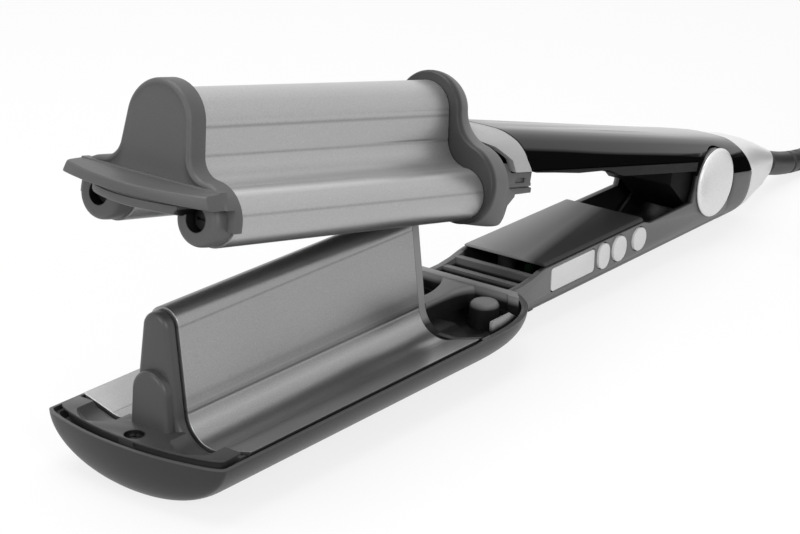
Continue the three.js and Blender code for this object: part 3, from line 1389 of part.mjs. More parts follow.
put(lead, "cord_lead", cordTube(leadRoute, 8), "cord");
put(lead, "cord_coil", tube(coilWithEnds, CORD_RADIUS, 6), "cord");
put(lead, "cord_end", cordTube(endRoute, 12), "cord");
put(lead, "cord_tie", cordTie(), "black");
put(lead, "plug_body", plugBody(), "black");
put(lead, "plug_pin_1", plugPin(-1), "steel");
put(lead, "plug_pin_2", plugPin(1), "steel");

// The origin is the middle of the footprint of everything but the lead, on the table.
scene.updateMatrixWorld(true);
const extent = new THREE.Box3();
const bounds = new THREE.Box3();
[lowerArm, upperArm].forEach((arm) =>
  arm.traverse((o) => {
    if (!o.isMesh || o.name === "swivel_collar" || o.name === "strain_relief") return;
    extent.union(bounds.setFromObject(o, true));
  }),
);
const centre = extent.getCenter(new THREE.Vector3());
scene.position.set(-centre.x, -centre.y, -extent.min.z);

const length = (route) => route.slice(1).reduce((sum, p, i) => sum + p.distanceTo(route[i]), 0);
console.log("coil: least gap to itself", leastGap(coil, CORD_RADIUS).toFixed(2), "mm");
const cordLengths = [leadRoute, coilWithEnds, endRoute].map((route) => length(route).toFixed(0));
console.log("cord:", cordLengths.join(" + "), "mm");
console.log("origin shift", scene.position.toArray().map((v) => v.toFixed(3)).join(", "));

export default waver;
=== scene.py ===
"""Hair waver, dressed.

Shapes are worked out in millimetres of the closed tool: X runs from tip to tail, Y = 0 is the
middle and Z = 0 is the rim of the lower head. placed() then opens the arms and gives metres.
"""
import math
import bmesh
import bpy
import numpy as np
from mathutils import Matrix, Vector


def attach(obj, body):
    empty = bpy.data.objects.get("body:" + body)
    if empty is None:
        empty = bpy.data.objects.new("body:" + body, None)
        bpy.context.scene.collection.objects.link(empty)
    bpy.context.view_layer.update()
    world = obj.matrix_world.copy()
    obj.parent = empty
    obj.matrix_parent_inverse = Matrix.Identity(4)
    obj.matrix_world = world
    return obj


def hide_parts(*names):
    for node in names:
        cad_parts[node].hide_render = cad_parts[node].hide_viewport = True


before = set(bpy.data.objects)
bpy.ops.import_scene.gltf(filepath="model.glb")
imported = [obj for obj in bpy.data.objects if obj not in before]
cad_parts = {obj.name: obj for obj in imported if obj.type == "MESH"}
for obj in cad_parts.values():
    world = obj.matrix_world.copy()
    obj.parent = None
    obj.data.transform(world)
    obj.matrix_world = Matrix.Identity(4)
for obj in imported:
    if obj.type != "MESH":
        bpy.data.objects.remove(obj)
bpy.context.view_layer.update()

# Places and turns of the whole tool

SHIFT = np.array([-167.919, 0.0, 15.9])  # to the frame's origin
HINGE = np.array([275.3, 0.0, 6.6])
HEAD_PIVOT = np.array([1.4, 0.0, 6.3])
OPEN = math.radians(11.9)
TILT = math.radians(1.1)  # of the upper head against its handle
SIDES = (-1, 1)
GAP = 0.35  # between neighbours

# Sections of the plates: centres in Y and Z, and the radii about them

TIP = (0.0, 28.4)
TIP_RADIUS = 5.2
DOME_RADIUS = 8.4
DOME_FILLET = 8
CHANNEL_GAP = 1.3
BARREL = (16.8, 6.3)
BARREL_RADIUS = 7.7
BORE_RADIUS = 4.65
TROUGH_RADIUS = 8.7
FLANK = math.atan2(BARREL[1] - TIP[1], BARREL[0]) + math.acos(
    (TROUGH_RADIUS + TIP_RADIUS) / math.hypot(BARREL[0], BARREL[1] - TIP[1])
)
EDGE_RISE = math.radians(15.5)
EDGE_HALF = 28.9
PLATE_WALL = 1.8

# Heads

PLATE_START, PLATE_END = 13.0, 115.0
UPPER_PLATE_END = 119.0
CAP_BACK = 7.6
REAR_START, REAR_END = UPPER_PLATE_END + GAP, 128.05
REAR_LOBE = (14.8, 8.9)
REAR_LOBE_RADIUS = 12
HALF_WIDTH = 31.4
HULL_WALL = 1.8
HULL_DEPTH = 17.4
SEAT_INSET = HULL_WALL + GAP
BOW_LENGTH = 5
STERN = (117.0, 158.5)
RIM = 0.85
RIM_TOP = RIM + 0.02  # a little over the rim, so that the first ring keeps its area
RIM_LINE = 0.15
KEEL = -15.9
FRONT_SCREW_X, REAR_SCREW_X = 0.8, 124.0
SCREW_SEAT = -2.6

# Handles and tail

HANDLE_HALF = 16
HANDLE_WALL = 2
HANDLE_BOTTOM = -10.6
LOWER_HANDLE_START = 126
UPPER_CORNER = 9
SHELL_BOTTOM = 9.2
COVER_SPLIT = 14.2
TAPER_START = 278
SEAM_X, SEAM_Z = 311, 8.2
SEAM_RUN, SEAM_RISE = 16.5, 12
TAIL_END = 340
TAIL_AXIS_Z = 8.9
TAIL_TILT = math.radians(6)


def about_y(points, pivot, angle):
    """Turns points about the line along Y through pivot: x' = x cos + z sin, z' = z cos - x sin."""
    d = points - pivot
    x = d[..., 0] * math.cos(angle) + d[..., 2] * math.sin(angle)
    z = d[..., 2] * math.cos(angle) - d[..., 0] * math.sin(angle)
    return np.stack([x, d[..., 1], z], -1) + pivot


def placed(points, part):
    """Millimetres to metres of the frame. A part is lower, upper, head or table for points of the
    closed tool, and node for points that are in the frame already."""
    points = np.asarray(points, float)
    if part == "head":
        points = about_y(points, HEAD_PIVOT, -TILT)
    if part in ("head", "upper"):
        points = about_y(points, HINGE, OPEN)
    if part != "node":
        points = points + SHIFT
    return points / 1000


# Camera

FOCAL_PIXELS, IMAGE_WIDTH = 2345, 800
SENSOR = 36
CAMERA_AT = (-409.3, -389.0, 254.6)
CAMERA_RIGHT = Vector((0.60130, -0.79872, 0.02185))
CAMERA_UP = Vector((0.26173, 0.22273, 0.93909))


def add_camera():
    """The photo's own view, without shift."""
    data = bpy.data.cameras.new("view")
    data.sensor_width = SENSOR
    data.lens = SENSOR * FOCAL_PIXELS / IMAGE_WIDTH
    data.clip_start = 0.01
    camera = bpy.data.objects.new("view", data)
    bpy.context.scene.collection.objects.link(camera)
    turn = Matrix((CAMERA_RIGHT, CAMERA_UP, CAMERA_RIGHT.cross(CAMERA_UP))).transposed()
    camera.matrix_world = Matrix.Translation(Vector(placed(CAMERA_AT, "table"))) @ turn.to_4x4()
    bpy.context.scene.camera = camera


add_camera()

# Surfaces

def new_piece(name, verts, faces):
    """A mesh object from points and the loops of points round its faces."""
    mesh = bpy.data.meshes.new(name)
    mesh.from_pydata([tuple(v) for v in verts], [], [list(f) for f in faces])
    piece = bpy.data.objects.new(name, mesh)
    bpy.context.scene.collection.objects.link(piece)
    return piece


def outward(piece):
    """Merges doubles and turns all faces of a closed mesh out."""
    bm = bmesh.new()
    bm.from_mesh(piece.data)
    bmesh.ops.remove_doubles(bm, verts=bm.verts, dist=1e-4)
    bmesh.ops.recalc_face_normals(bm, faces=bm.faces)
    bm.to_mesh(piece.data)
    bm.free()
    return piece


def skin(rings):
    """Closed body over equal loops: point j of ring i joins point j + 1 and ring i + 1; flat ends."""
    rings = np.asarray(rings, float)
    m, n, _ = rings.shape
    i = np.arange(m - 1)[:, None] * n
    j = np.arange(n)[None, :]
    k = (j + 1) % n
    quads = np.stack([i + j, i + k, i + n + k, i + n + j], -1).reshape(-1, 4)
    ends = [list(range(n))[::-1], list(range((m - 1) * n, m * n))]
    return outward(new_piece("body", rings.reshape(-1, 3), quads.tolist() + ends))


def prism(outline, axis, start, end):
    """An outline in the two other axes, in their order, carried straight along one axis."""
    outline = np.asarray(outline, float)
    rings = np.zeros((2, len(outline), 3))
    others = [a for a in range(3) if a != axis]
    rings[:, :, others] = outline
    rings[:, :, axis] = [[start], [end]]
    return skin(rings)


def block(x0, x1, y0, y1, z0, z1):
    """A box by its limits, as an outline in Y and Z along X."""
    return prism([[y0, z0], [y1, z0], [y1, z1], [y0, z1]], 0, x0, x1)


def round_about(profile, start, end, sides=64):
    """Profile of radius and height turned about the line from start towards end: each point goes to
    start + radius (cos a side + sin a over) + height ahead. It is closed on the line."""
    profile = np.asarray(profile, float)
    start, end = np.asarray(start, float), np.asarray(end, float)
    ahead = (end - start) / np.linalg.norm(end - start)
    side = np.cross(ahead, [0.31, 0.17, 0.93])
    side /= np.linalg.norm(side)
    over = np.cross(ahead, side)
    angle = np.linspace(0, 2 * np.pi, sides, endpoint=False)
    spoke = np.cos(angle)[:, None] * side + np.sin(angle)[:, None] * over
    radius = np.maximum(profile[:, 0], 1e-3)
    rings = start + radius[:, None, None] * spoke + profile[:, 1][:, None, None] * ahead
    return skin(rings)


def rod(start, end, radius, sides=48):
    """A straight round bar between two points."""
    length = float(np.linalg.norm(np.subtract(end, start)))
    return round_about([[radius, 0], [radius, length]], start, end, sides)


def barrel_rods(start, end, radius, sides=48):
    """A round bar along the line of each barrel."""
    middles = [(s * BARREL[0], BARREL[1]) for s in SIDES]
    return [rod([start, *middle], [end, *middle], radius, sides) for middle in middles]


def hinge_rod(radius, sides):
    """A round bar along the hinge's line, wider than the handles."""
    return rod([HINGE[0], -20, HINGE[2]], [HINGE[0], 20, HINGE[2]], radius, sides)


def evaluated(piece):
    """The mesh that a piece has after its modifiers."""
    graph = bpy.context.evaluated_depsgraph_get()
    graph.update()
    return bpy.data.meshes.new_from_object(piece.evaluated_get(graph))


def combined(body, tools, operation):
    """Joins tools to body, cuts them from it or keeps what they share, then removes them."""
    for tool in tools:
        change = body.modifiers.new("change", "BOOLEAN")
        change.operation = operation
        change.solver = "MANIFOLD"
        change.object = tool
        body.data = evaluated(body)
        body.modifiers.clear()
        bpy.data.objects.remove(tool)
    return body


def cut(body, *tools):
    return combined(body, tools, "DIFFERENCE")


def join(body, *tools):
    return combined(body, tools, "UNION")


def common(body, *tools):
    return combined(body, tools, "INTERSECT")


def arc(centre, radius, start, end, steps):
    """Points on a circle: centre plus radius times cosine and sine, at equal steps of angle."""
    angle = np.linspace(start, end, steps + 1)
    return np.stack([centre[0] + radius * np.cos(angle), centre[1] + radius * np.sin(angle)], -1)


def both_halves(half):
    """A half outline from its middle outwards, with its mirror image before it."""
    half = np.asarray(half, float)
    return np.vstack([(half * [-1, 1])[:0:-1], half])


def mirrored(right):
    """The right side of an outline, then its mirror image on the way back."""
    right = np.asarray(right, float)
    return np.vstack([right, (right * [-1, 1])[::-1]])


def at_x(x, outline):
    """An outline in Y and Z at one place along X."""
    return np.column_stack([np.full(len(outline), x), outline])


def cleaned(mesh, distance, angle, scale=1):
    """Scales a mesh, merges its doubles and joins faces that are flat within an angle in degrees."""
    bm = bmesh.new()
    bm.from_mesh(mesh)
    bmesh.ops.scale(bm, vec=(scale, scale, scale), verts=bm.verts)
    bmesh.ops.remove_doubles(bm, verts=bm.verts, dist=distance)
    bmesh.ops.dissolve_limit(bm, angle_limit=math.radians(angle), verts=bm.verts, edges=bm.edges)
    bm.to_mesh(mesh)
    bm.free()


def rounded(piece, width, segments, miter="MITER_SHARP"):
    """Rounds all edges that turn by 35 degrees or more."""
    bevel = piece.modifiers.new("edge", "BEVEL")
    bevel.width = width
    bevel.segments = segments
    bevel.limit_method = "ANGLE"
    bevel.angle_limit = math.radians(35)
    bevel.miter_outer = miter
    piece.data = evaluated(piece)
    piece.modifiers.clear()


def dressed(piece, name, part, body, nodes, look, smooth=32):
    """Places a mesh in millimetres, shades it smooth up to an angle and hands it to its body."""
    mesh = piece.data
    co = np.zeros(len(mesh.vertices) * 3)
    mesh.vertices.foreach_get("co", co)
    mesh.vertices.foreach_set("co", placed(co.reshape(-1, 3), part).ravel())
    mesh.update()
    mesh.shade_smooth()
    mesh.set_sharp_from_angle(angle=math.radians(smooth))
    piece.name = name
    mesh.name = name
    mesh.materials.clear()
    mesh.materials.append(LOOKS[look].material)
    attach(piece, body)
    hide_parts(*nodes)
    return piece


def finished(piece, name, part, body, nodes, look, edge=0.3, smooth=32):
    """Rounds the edges of a body by a number of millimetres and dresses it."""
    cleaned(piece.data, 2e-3, 0.4)
    if edge:
        rounded(piece, edge, 3, "MITER_ARC")
    return dressed(piece, name, part, body, nodes, look, smooth)


def softened(node, body, look, edge=0.25):
    """A node's own shape with rounded edges."""
    piece = bpy.data.objects.new(node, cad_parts[node].data.copy())
    bpy.context.scene.collection.objects.link(piece)
    cleaned(piece.data, 1e-3, 0.8, 1000)
    rounded(piece, edge, 2)
    return dressed(piece, node + "_soft", "node", body, [node], look)


# Finishes

class Signal:
    """A socket's value; arithmetic on it adds Math nodes."""

    def __init__(self, look, socket):
        self.look = look
        self.socket = socket

    def maths(self, operation, other):
        """A Math node on this value and another."""
        return self.look.node("ShaderNodeMath", {"operation": operation}, {0: self, 1: other})

    def __add__(self, other):
        return self.maths("ADD", other)

    def __sub__(self, other):
        return self.maths("SUBTRACT", other)

    def __mul__(self, other):
        return self.maths("MULTIPLY", other)

    def __pow__(self, other):
        return self.maths("POWER", other)

    def most(self, other):
        return self.maths("MAXIMUM", other)

    def size(self):
        return self.maths("ABSOLUTE", 0.0)

    def within(self, middle, half):
        """One at the middle, falling to nothing at half a width away from it."""
        return self.look.ramp((self - middle).size(), 0, half, 1, 0)


class Nodes:
    """A node tree; every node of it goes in through node()."""

    def __init__(self, tree):
        self.tree = tree

    def node(self, kind, settings=None, inputs=None, out=0):
        """Adds a node: settings first, then a value or link for each socket."""
        made = self.tree.nodes.new(kind)
        for key, value in (settings or {}).items():
            setattr(made, key, value)
        for key, value in (inputs or {}).items():
            self.feed(made.inputs[key], value)
        return Signal(self, made.outputs[out])

    def feed(self, socket, value):
        """Links a signal to a socket, or sets the socket's own value."""
        if isinstance(value, Signal):
            self.tree.links.new(value.socket, socket)
        else:
            socket.default_value = value

    def ramp(self, signal, low, high, start=0.0, end=1.0):
        """Straight line from start at low to end at high, held outside them."""
        inputs = {"Value": signal, "From Min": low, "From Max": high, "To Min": start, "To Max": end}
        return self.node("ShaderNodeMapRange", {"clamp": True}, inputs)

    def seen(self):
        """One for camera, glossy and transmission rays, nothing for the others."""
        kinds = ("Is Camera Ray", "Is Glossy Ray", "Is Transmission Ray")
        camera, glossy, through = (self.node("ShaderNodeLightPath", out=kind) for kind in kinds)
        return camera.most(glossy).most(through)


class Finish(Nodes):
    """A procedural material on the shader, with its record slot."""

    def __init__(self, name, slot, grey, roughness, metallic=0.0, level=0.5):
        self.slot = slot
        self.material = bpy.data.materials.new(name)
        self.material.use_nodes = True
        super().__init__(self.material.node_tree)
        self.shader = self.tree.nodes["Principled BSDF"]
        self.grey = grey if isinstance(grey, tuple) else (grey, grey, grey)
        self.roughness = roughness
        self.set("Base Color", (*self.grey, 1))
        self.set("Roughness", roughness)
        self.set("Metallic", metallic)
        self.set("Specular IOR Level", level)

    def set(self, name, value):
        """Gives a value or a signal to one of the shader's sockets."""
        self.feed(self.shader.inputs[name], value)

    def along(self, axis, part):
        """Millimetres of the closed tool along an axis (0 to 2), read on a piece of that part."""
        start = placed([0, 0, 0], part)
        way = (placed(np.eye(3)[axis], part) - start) * 1e6
        here = self.node("ShaderNodeTexCoord", out="Object")
        inputs = {0: here, 1: tuple(float(v) for v in way)}
        length = self.node("ShaderNodeVectorMath", {"operation": "DOT_PRODUCT"}, inputs, "Value")
        return length - float(start @ way)

    def noise(self, scale, detail=2.0, stretch=(1, 1, 1)):
        """Cloudy noise from 0 to 1 on stretched Object coordinates; its spots are about one metre
        over scale across."""
        here = self.node("ShaderNodeTexCoord", out="Object")
        where = self.node("ShaderNodeMapping", {}, {"Vector": here, "Scale": stretch})
        return self.node("ShaderNodeTexNoise", {}, {"Vector": where, "Scale": scale, "Detail": detail})

    def tint(self, signal, darker, lighter):
        """Base colour between the finish's grey times darker and times lighter."""
        low = tuple(c * darker for c in self.grey) + (1,)
        high = tuple(min(c * lighter, 1) for c in self.grey) + (1,)
        made = self.node("ShaderNodeMix", {"data_type": "RGBA"}, {0: signal, 6: low, 7: high}, 2)
        self.set("Base Color", made)

    def bump(self, height, distance):
        """Relief of a height signal, distance metres deep."""
        self.set("Normal", self.node("ShaderNodeBump", {}, {"Height": height, "Distance": distance}))

    def grained(self, fine):
        """Roughness and relief that follow the fine grain of a moulded face."""
        self.set("Roughness", self.ramp(fine, 0.3, 0.7, self.roughness + 0.04, self.roughness - 0.04))
        self.bump(fine, 0.00003)

    def handled(self, spark):
        """Roughness with faint handling marks, and relief that follows a metal's sparkle."""
        marks = self.ramp(self.noise(45, 4), 0.5, 0.8)
        worn = marks * 0.6 + spark * 0.4
        self.set("Roughness", self.ramp(worn, 0, 1, self.roughness - 0.04, self.roughness + 0.08))
        self.bump(spark, 0.00001)


GRAIN = 2600  # spots a metre in a moulded face
SPARKLE = 4200  # spots a metre in a metal face


def moulded(name, slot, grey, roughness, grain=0.00004, size=GRAIN, level=0.5, hole_shade=None):
    """Moulded plastic: a fine spark-eroded grain, slow cloudiness and a few rubbed patches. A hole shade
    is painted shade that makes a round hole near black inside: its part, its middle in Y, the other axis,
    the middle there, its radius."""
    look = Finish(name, slot, grey, roughness, level=level)
    fine = look.noise(size, 3)
    broad = look.noise(38, 3)
    rubbed = look.ramp(look.noise(120, 4), 0.52, 0.72)
    cloud = look.ramp(broad * 0.6 + fine * 0.4, 0.3, 0.7)
    if hole_shade:
        part, side, axis, middle, radius = hole_shade
        away = (look.along(1, part).size() - side) ** 2.0 + (look.along(axis, part) - middle) ** 2.0
        open_face = look.ramp(away, radius ** 2 + 0.2, (radius + 0.25) ** 2)
        # painted shade: near black in the round hole and on its wall, while the open face keeps its grey
        look.tint((cloud * 0.13 + 0.87) * open_face, 0.05, 1.07)
    else:
        look.tint(cloud, 0.93, 1.07)
    look.set("Roughness", look.ramp(rubbed * 0.6 + fine * 0.4, 0, 1, roughness + 0.03, roughness - 0.07))
    look.bump(fine, grain)
    return look


def satin_metal(name, slot, grey, roughness, metallic):
    """Satin metal: fine sparkle, a slow cloudiness and faint handling marks."""
    look = Finish(name, slot, grey, roughness, metallic)
    spark = look.noise(SPARKLE, 1)
    look.tint(look.ramp(spark * 0.8 + look.noise(30, 2) * 0.2, 0.3, 0.7), 0.88, 1.12)
    look.handled(spark)
    return look


def coated_plate(name, slot, grey, roughness, metallic, part, bands):
    """Coated plate: sparkle, handling marks, and bands along its length that paint reflections and shade
    into its colour. Each band is a height on the section in millimetres, half its width there and how
    much it darkens; less than nothing lightens."""
    look = Finish(name, slot, grey, roughness, metallic)
    height = look.along(2, part)
    spark = look.noise(SPARKLE, 1)
    light = look.ramp(spark, 0.3, 0.7, 0.44, 0.56)
    # each band paints shade where it darkens and a reflection where it lightens
    for middle, half, dark in bands:
        light = light - height.within(middle, half) * (dark / 2)
    look.tint(light, 0, 2)
    look.handled(spark)
    return look


def place_toned(name, slot, grey, roughness, part, axis, start, end, darker, level=0.5, lean=0, above=None):
    """Moulded plastic whose grey times darker changes to the full grey from start to end of an axis, to
    which lean times the way along X is added; below a height it stays dark. On the hull this paints a
    highlight along the rim, on the stern cup shade in its hollows, and on the inner cover the upper arm's
    shadow."""
    look = Finish(name, slot, grey, roughness, level=level)
    fine = look.noise(GRAIN, 3)
    place = look.along(axis, part)
    if lean:
        place = place + look.along(0, part) * lean
    share = look.ramp(place, start, end)
    if above is not None:
        share = share * look.ramp(look.along(2, part), above - 0.3, above)
    look.tint(share * 0.94 + fine * 0.06, darker, 1.03)
    look.grained(fine)
    return look


def shaded_inside(name, slot, grey, roughness, level):
    """The lower handle's plastic: grey outside and on the tops of its bars, with painted shade that makes
    it black inside.
    """
    look = Finish(name, slot, grey, roughness, level=level)
    fine = look.noise(GRAIN, 3)
    high = look.along(2, "lower")
    sides = look.ramp(look.along(1, "lower").size(), HANDLE_HALF - 1.2, HANDLE_HALF - 0.3)
    below = look.ramp(high, HANDLE_BOTTOM + 1.3, HANDLE_BOTTOM + 0.8)
    bars = look.ramp(look.along(0, "lower"), 169.5, 168.5) * look.ramp(high, 0.1, 0.7)
    # painted shade: black inside the handle; its sides, its bottom and the bar tops keep the grey
    look.tint(sides.most(below).most(bars) * 0.94 + fine * 0.06, 0.04, 1.03)
    look.grained(fine)
    return look


def polished(name, slot, grey, roughness):
    """Polished plastic with fine hairlines and finger smudges. Its clear coat is a painted sheen by
    height: it starts on a wavy line along the side and is heaviest on the top, which falls by 0.036 mm a
    millimetre, and below that line the black stays dark, as in shade."""
    look = Finish(name, slot, grey, roughness, level=0.0)
    height = look.along(2, "upper") + (look.along(0, "upper") - 160) * 0.036
    side = look.ramp(height + look.noise(14, 0) * 2.4, 20.9, 22.0, 0, 0.78)
    # painted sheen: the coat follows height, so the top and upper side shine and the underside stays dark
    look.set("Coat Weight", side + look.ramp(height, 22.6, 25.0, 0, 0.22))
    look.set("Coat Roughness", 0.12)
    look.set("Coat IOR", 1.6)
    smudge = look.ramp(look.noise(70, 4), 0.45, 0.75)
    hair = look.noise(1500, 2, (0.08, 1, 1))
    look.set("Roughness", look.ramp(smudge * 0.7 + hair * 0.3, 0, 1, roughness, roughness + 0.1))
    look.tint(look.noise(30, 2), 0.9, 1.1)
    look.bump(look.noise(900, 2), 0.000004)
    return look


# Painted reflections and shade on the plates, as bands: height, half width, share by which they darken

UPPER_REFLECTION_BANDS = [
    (39.5, 5.5, -0.25), (28.0, 0.7, 0.34), (20.7, 0.6, 0.3), (16.2, 1.8, 0.12), (14.75, 0.7, 0.1),
    (13.3, 0.8, -0.3), (8.3, 0.6, 0.26), (0, 2.4, 0.62), (-1.5, 1.8, 0.4),
]
LOWER_REFLECTION_BANDS = [
    (34.2, 2.2, 0.42), (29.0, 0.5, 0.3), (9.3, 1.4, 0.14), (7.2, 0.5, -0.15), (5.7, 0.4, 0.25),
    (1.8, 1.6, -0.2),
]
BARREL_HOLE_SHADE = ("head", BARREL[0], 2, BARREL[1], 3.2)
SCREW_HOLE_SHADE = ("lower", 0, 0, FRONT_SCREW_X, 2.85)
LOOKS = {
    "silver": coated_plate("satin_plate", "silver", 0.40, 0.34, 0.75, "head", UPPER_REFLECTION_BANDS),
    "gunmetal": coated_plate("dark_plate", "gunmetal", 0.315, 0.32, 0.8, "lower", LOWER_REFLECTION_BANDS),
    "cap": moulded("matt_cap", "cap_grey", 0.068, 0.5, level=0.45, hole_shade=BARREL_HOLE_SHADE),
    "flange": place_toned("matt_flange", "cap_grey", 0.105, 0.5, "head", 0, 120.9, 122.1, 0.16, 0.4),
    "deck": moulded("deck_plastic", "dark_grey", 0.05, 0.36, 0.00001, level=0.4, hole_shade=SCREW_HOLE_SHADE),
    # painted highlight: the top of the hull's rim keeps the full grey, while the hull below it is darker
    "hull": place_toned("hull_plastic", "dark_grey", 0.075, 0.36, "lower", 2, -0.35, 0.1, 0.36, 0.25),
    "handle": shaded_inside("handle_plastic", "dark_grey", 0.13, 0.42, 0.4),
    "dark": moulded("dark_plastic", "dark_grey", 0.06, 0.42, 0.00002),
    # painted shade: the stern cup is near black below the tops of its walls and knobs
    "cup": place_toned("cup_plastic", "mid_grey", 0.28, 0.4, "lower", 2, 0.1, 1.9, 0.02, 0.15),
    # painted shadow: the upper arm's shadow across the inner cover, on a slanted line; below 4.4 mm it is
    # dark too
    "mid": place_toned("soft_grey", "mid_grey", 0.34, 0.6, "lower", 1, -45.5, -40.5, 0.08, 0.3, -0.196, 4.4),
    "neck": moulded("neck_grey", "pale_grey", 0.38, 0.55),
    "gloss": polished("gloss_black", "gloss", 0.004, 0.14),
    "black": moulded("inner_black", "black", 0.006, 0.5, level=0.1),
    "pale": moulded("pale_key", "pale_grey", 0.66, 0.45, 0.00001),
    "ring": satin_metal("silver_trim", "silver", 0.78, 0.36, 0.3),
    "steel": satin_metal("screw_steel", "steel", 0.42, 0.28, 1.0),
    "dull": satin_metal("black_screw", "steel", 0.03, 0.45, 1.0),
    "brass": satin_metal("bush_brass", "brass", (0.46, 0.32, 0.12), 0.32, 1.0),
    "ceramic": moulded("heater_ceramic", "ceramic", (0.72, 0.68, 0.60), 0.75),
    "board": moulded("board_lacquer", "board", (0.004, 0.01, 0.006), 0.4, level=0.05),
    "cord": moulded("lead_sheath", "cord", 0.02, 0.45, 0.00002, 1800),
}

# Nodes that keep their shape, with softened edges

SOFTENED = {
    "lower_arm": {
        "handle": ["lower_handle_shell"],
        "mid": ["lower_inner_cover"],
        "pale": ["display_window"],
        "steel": ["lower_cover_screw_1", "lower_cover_screw_2", "hinge_pin"],
        "dull": ["opening_spring"],
    },
    "upper_arm": {
        "black": ["upper_inner_cover", "hinge_knuckle", "cord_tie", "plug_body"],
        "steel": ["plug_pin_1", "plug_pin_2"],
    },
}
for body, by_look in SOFTENED.items():
    for look, names in by_look.items():
        for name in names:
            softened(name, body, look)
for name in ("minus", "plus", "power"):
    softened(name + "_button", name + "_key", "pale", 0.3)

# Sections of the heads

def bell_half(tip_radius, fillet, lobe_radius, lobe=BARREL):
    """Half a bell: an arc about the tip, a straight flank, a hollow arc that touches it, and an arc
    about the lobe out to its widest point."""
    normal = np.array([math.cos(FLANK), math.sin(FLANK)])
    down = np.array([normal[1], -normal[0]])
    start = np.array(TIP) + (tip_radius + fillet) * normal
    gap = start - lobe
    b = gap @ down
    travel = -b - math.sqrt(b * b - (gap @ gap - (lobe_radius + fillet) ** 2))
    centre = start + travel * down
    touch = math.atan2(centre[1] - lobe[1], centre[0] - lobe[0])
    return np.vstack([
        arc(TIP, tip_radius, math.pi / 2, FLANK, 24),
        arc(centre, fillet, math.pi + FLANK, math.pi + touch, 16)[:-1],
        arc(lobe, lobe_radius, touch, 0, 20),
    ])


def ridge_half(offset, half_width=EDGE_HALF):
    """Half the lower plate's section: an arc over the ridge, its flank, the trough and a rising edge."""
    trough = arc(BARREL, TROUGH_RADIUS - offset, math.pi + FLANK, 1.5 * math.pi + EDGE_RISE, 28)
    end = trough[-1]
    edge = [[half_width, end[1] + (half_width - end[0]) * math.tan(EDGE_RISE)]]
    return np.vstack([arc(TIP, TIP_RADIUS + offset, math.pi / 2, FLANK, 20), trough, edge])


def creased(half, marks, depth, width):
    """Sinks shallow creases in a half outline: depth times a bell curve of the way to each mark,
    which is the number of one of its points."""
    half = np.asarray(half, float)
    step = np.r_[0, np.cumsum(np.linalg.norm(np.diff(half, axis=0), axis=1))]
    way = np.unique(np.r_[step, np.concatenate([step[m] + np.linspace(-1.2, 1.2, 13) for m in marks])])
    way = way[(way >= 0) & (way <= step[-1])]
    fine = np.stack([np.interp(way, step, half[:, 0]), np.interp(way, step, half[:, 1])], -1)
    along = np.gradient(fine, axis=0)
    along /= np.linalg.norm(along, axis=1)[:, None]
    inward = np.stack([along[:, 1], -along[:, 0]], -1)
    sink = sum(np.exp(-(((way - step[m]) / width) ** 2)) for m in marks) * depth
    return fine + inward * sink[:, None]


# Upper head

def upper_plate():
    """The bell outside, a round barrel below each lobe and the channel for the ridge inside."""
    outside = creased(bell_half(DOME_RADIUS, DOME_FILLET, BARREL_RADIUS), [24, 25, 40], 0.1, 0.35)
    barrel = arc(BARREL, BARREL_RADIUS, 0, FLANK - math.pi, 44)[1:]
    inside = arc(TIP, TIP_RADIUS + CHANNEL_GAP, FLANK, math.pi / 2, 18)
    half = np.vstack([outside, barrel, inside])
    far = (half * [-1, 1])[::-1]
    body = prism(np.vstack([half, far[1:-1]]), 0, CAP_BACK + GAP, UPPER_PLATE_END)
    return cut(body, *barrel_rods(0, 130, BORE_RADIUS))


finished(upper_plate(), "upper_plate_metal", "head", "upper_arm", ["upper_wave_plate"], "silver", 0.25)


def bell_ring(x, proud):
    """The front cap's outline at one height, standing proud of the plate by a number of millimetres."""
    half = bell_half(DOME_RADIUS + 0.4 + proud, DOME_FILLET - proud, BARREL_RADIUS + proud)
    return at_x(x, both_halves(np.vstack([half, [[BARREL[0] + BARREL_RADIUS + proud, 4.5]]])))


def lip_ring(share):
    """The lip's section at one share across, -1 to 1: its front lies on a shallow curve, a low step
    runs along its back, its top slopes, and its ends lean out to the bottom."""
    front = -4.5 - 5.5 * (1 - share ** 2)
    top = 13.4 + (front + 10) * 0.09
    section = np.array([
        [3.4, 14.7], [1.0, 14.7], [0.75, 14.62], [0.6, 14.3], [front + 1.2, top + 0.16],
        [front + 0.35, top - 0.02], [front + 0.08, top - 0.3], [front, top - 0.7], [front + 0.15, 11.2],
        [front + 0.35, 10.75], [front + 0.8, 10.5], [front + 2.6, 10.4], [3.4, 10.4],
    ])
    across = share * (23.7 + 1.5 * np.clip((14 - section[:, 1]) / 3.4, 0, 1))
    return np.column_stack([section[:, 0], across, section[:, 1]])


def under_lip(share):
    """The band below the lip, set back, with a groove near its top and a rounded lower edge."""
    front = -4.5 - 5.5 * (1 - (share * 0.9) ** 2) + 1.5
    section = np.array([
        [3.6, 10.6], [front, 10.6], [front, 10.1], [front + 0.5, 9.95], [front + 0.5, 9.75],
        [front, 9.6], [front + 0.05, 8.2], [front + 0.5, 7.5], [front + 1.6, 7.1], [3.6, 7.0],
    ])
    return np.column_stack([section[:, 0], np.full(len(section), share * 14.5), section[:, 1]])


def nose(side):
    """The round end of a barrel: a turned profile with a soft shoulder."""
    shoulder = arc((5.2, 1.9), 1.9, -math.pi / 2, -0.1, 8)
    profile = [[0, 0], *shoulder, [7.2, 3.4], [7.2, CAP_BACK - 1], [0, CAP_BACK - 1]]
    y = side * BARREL[0]
    return round_about(profile, [1, y, BARREL[1]], [2, y, BARREL[1]])


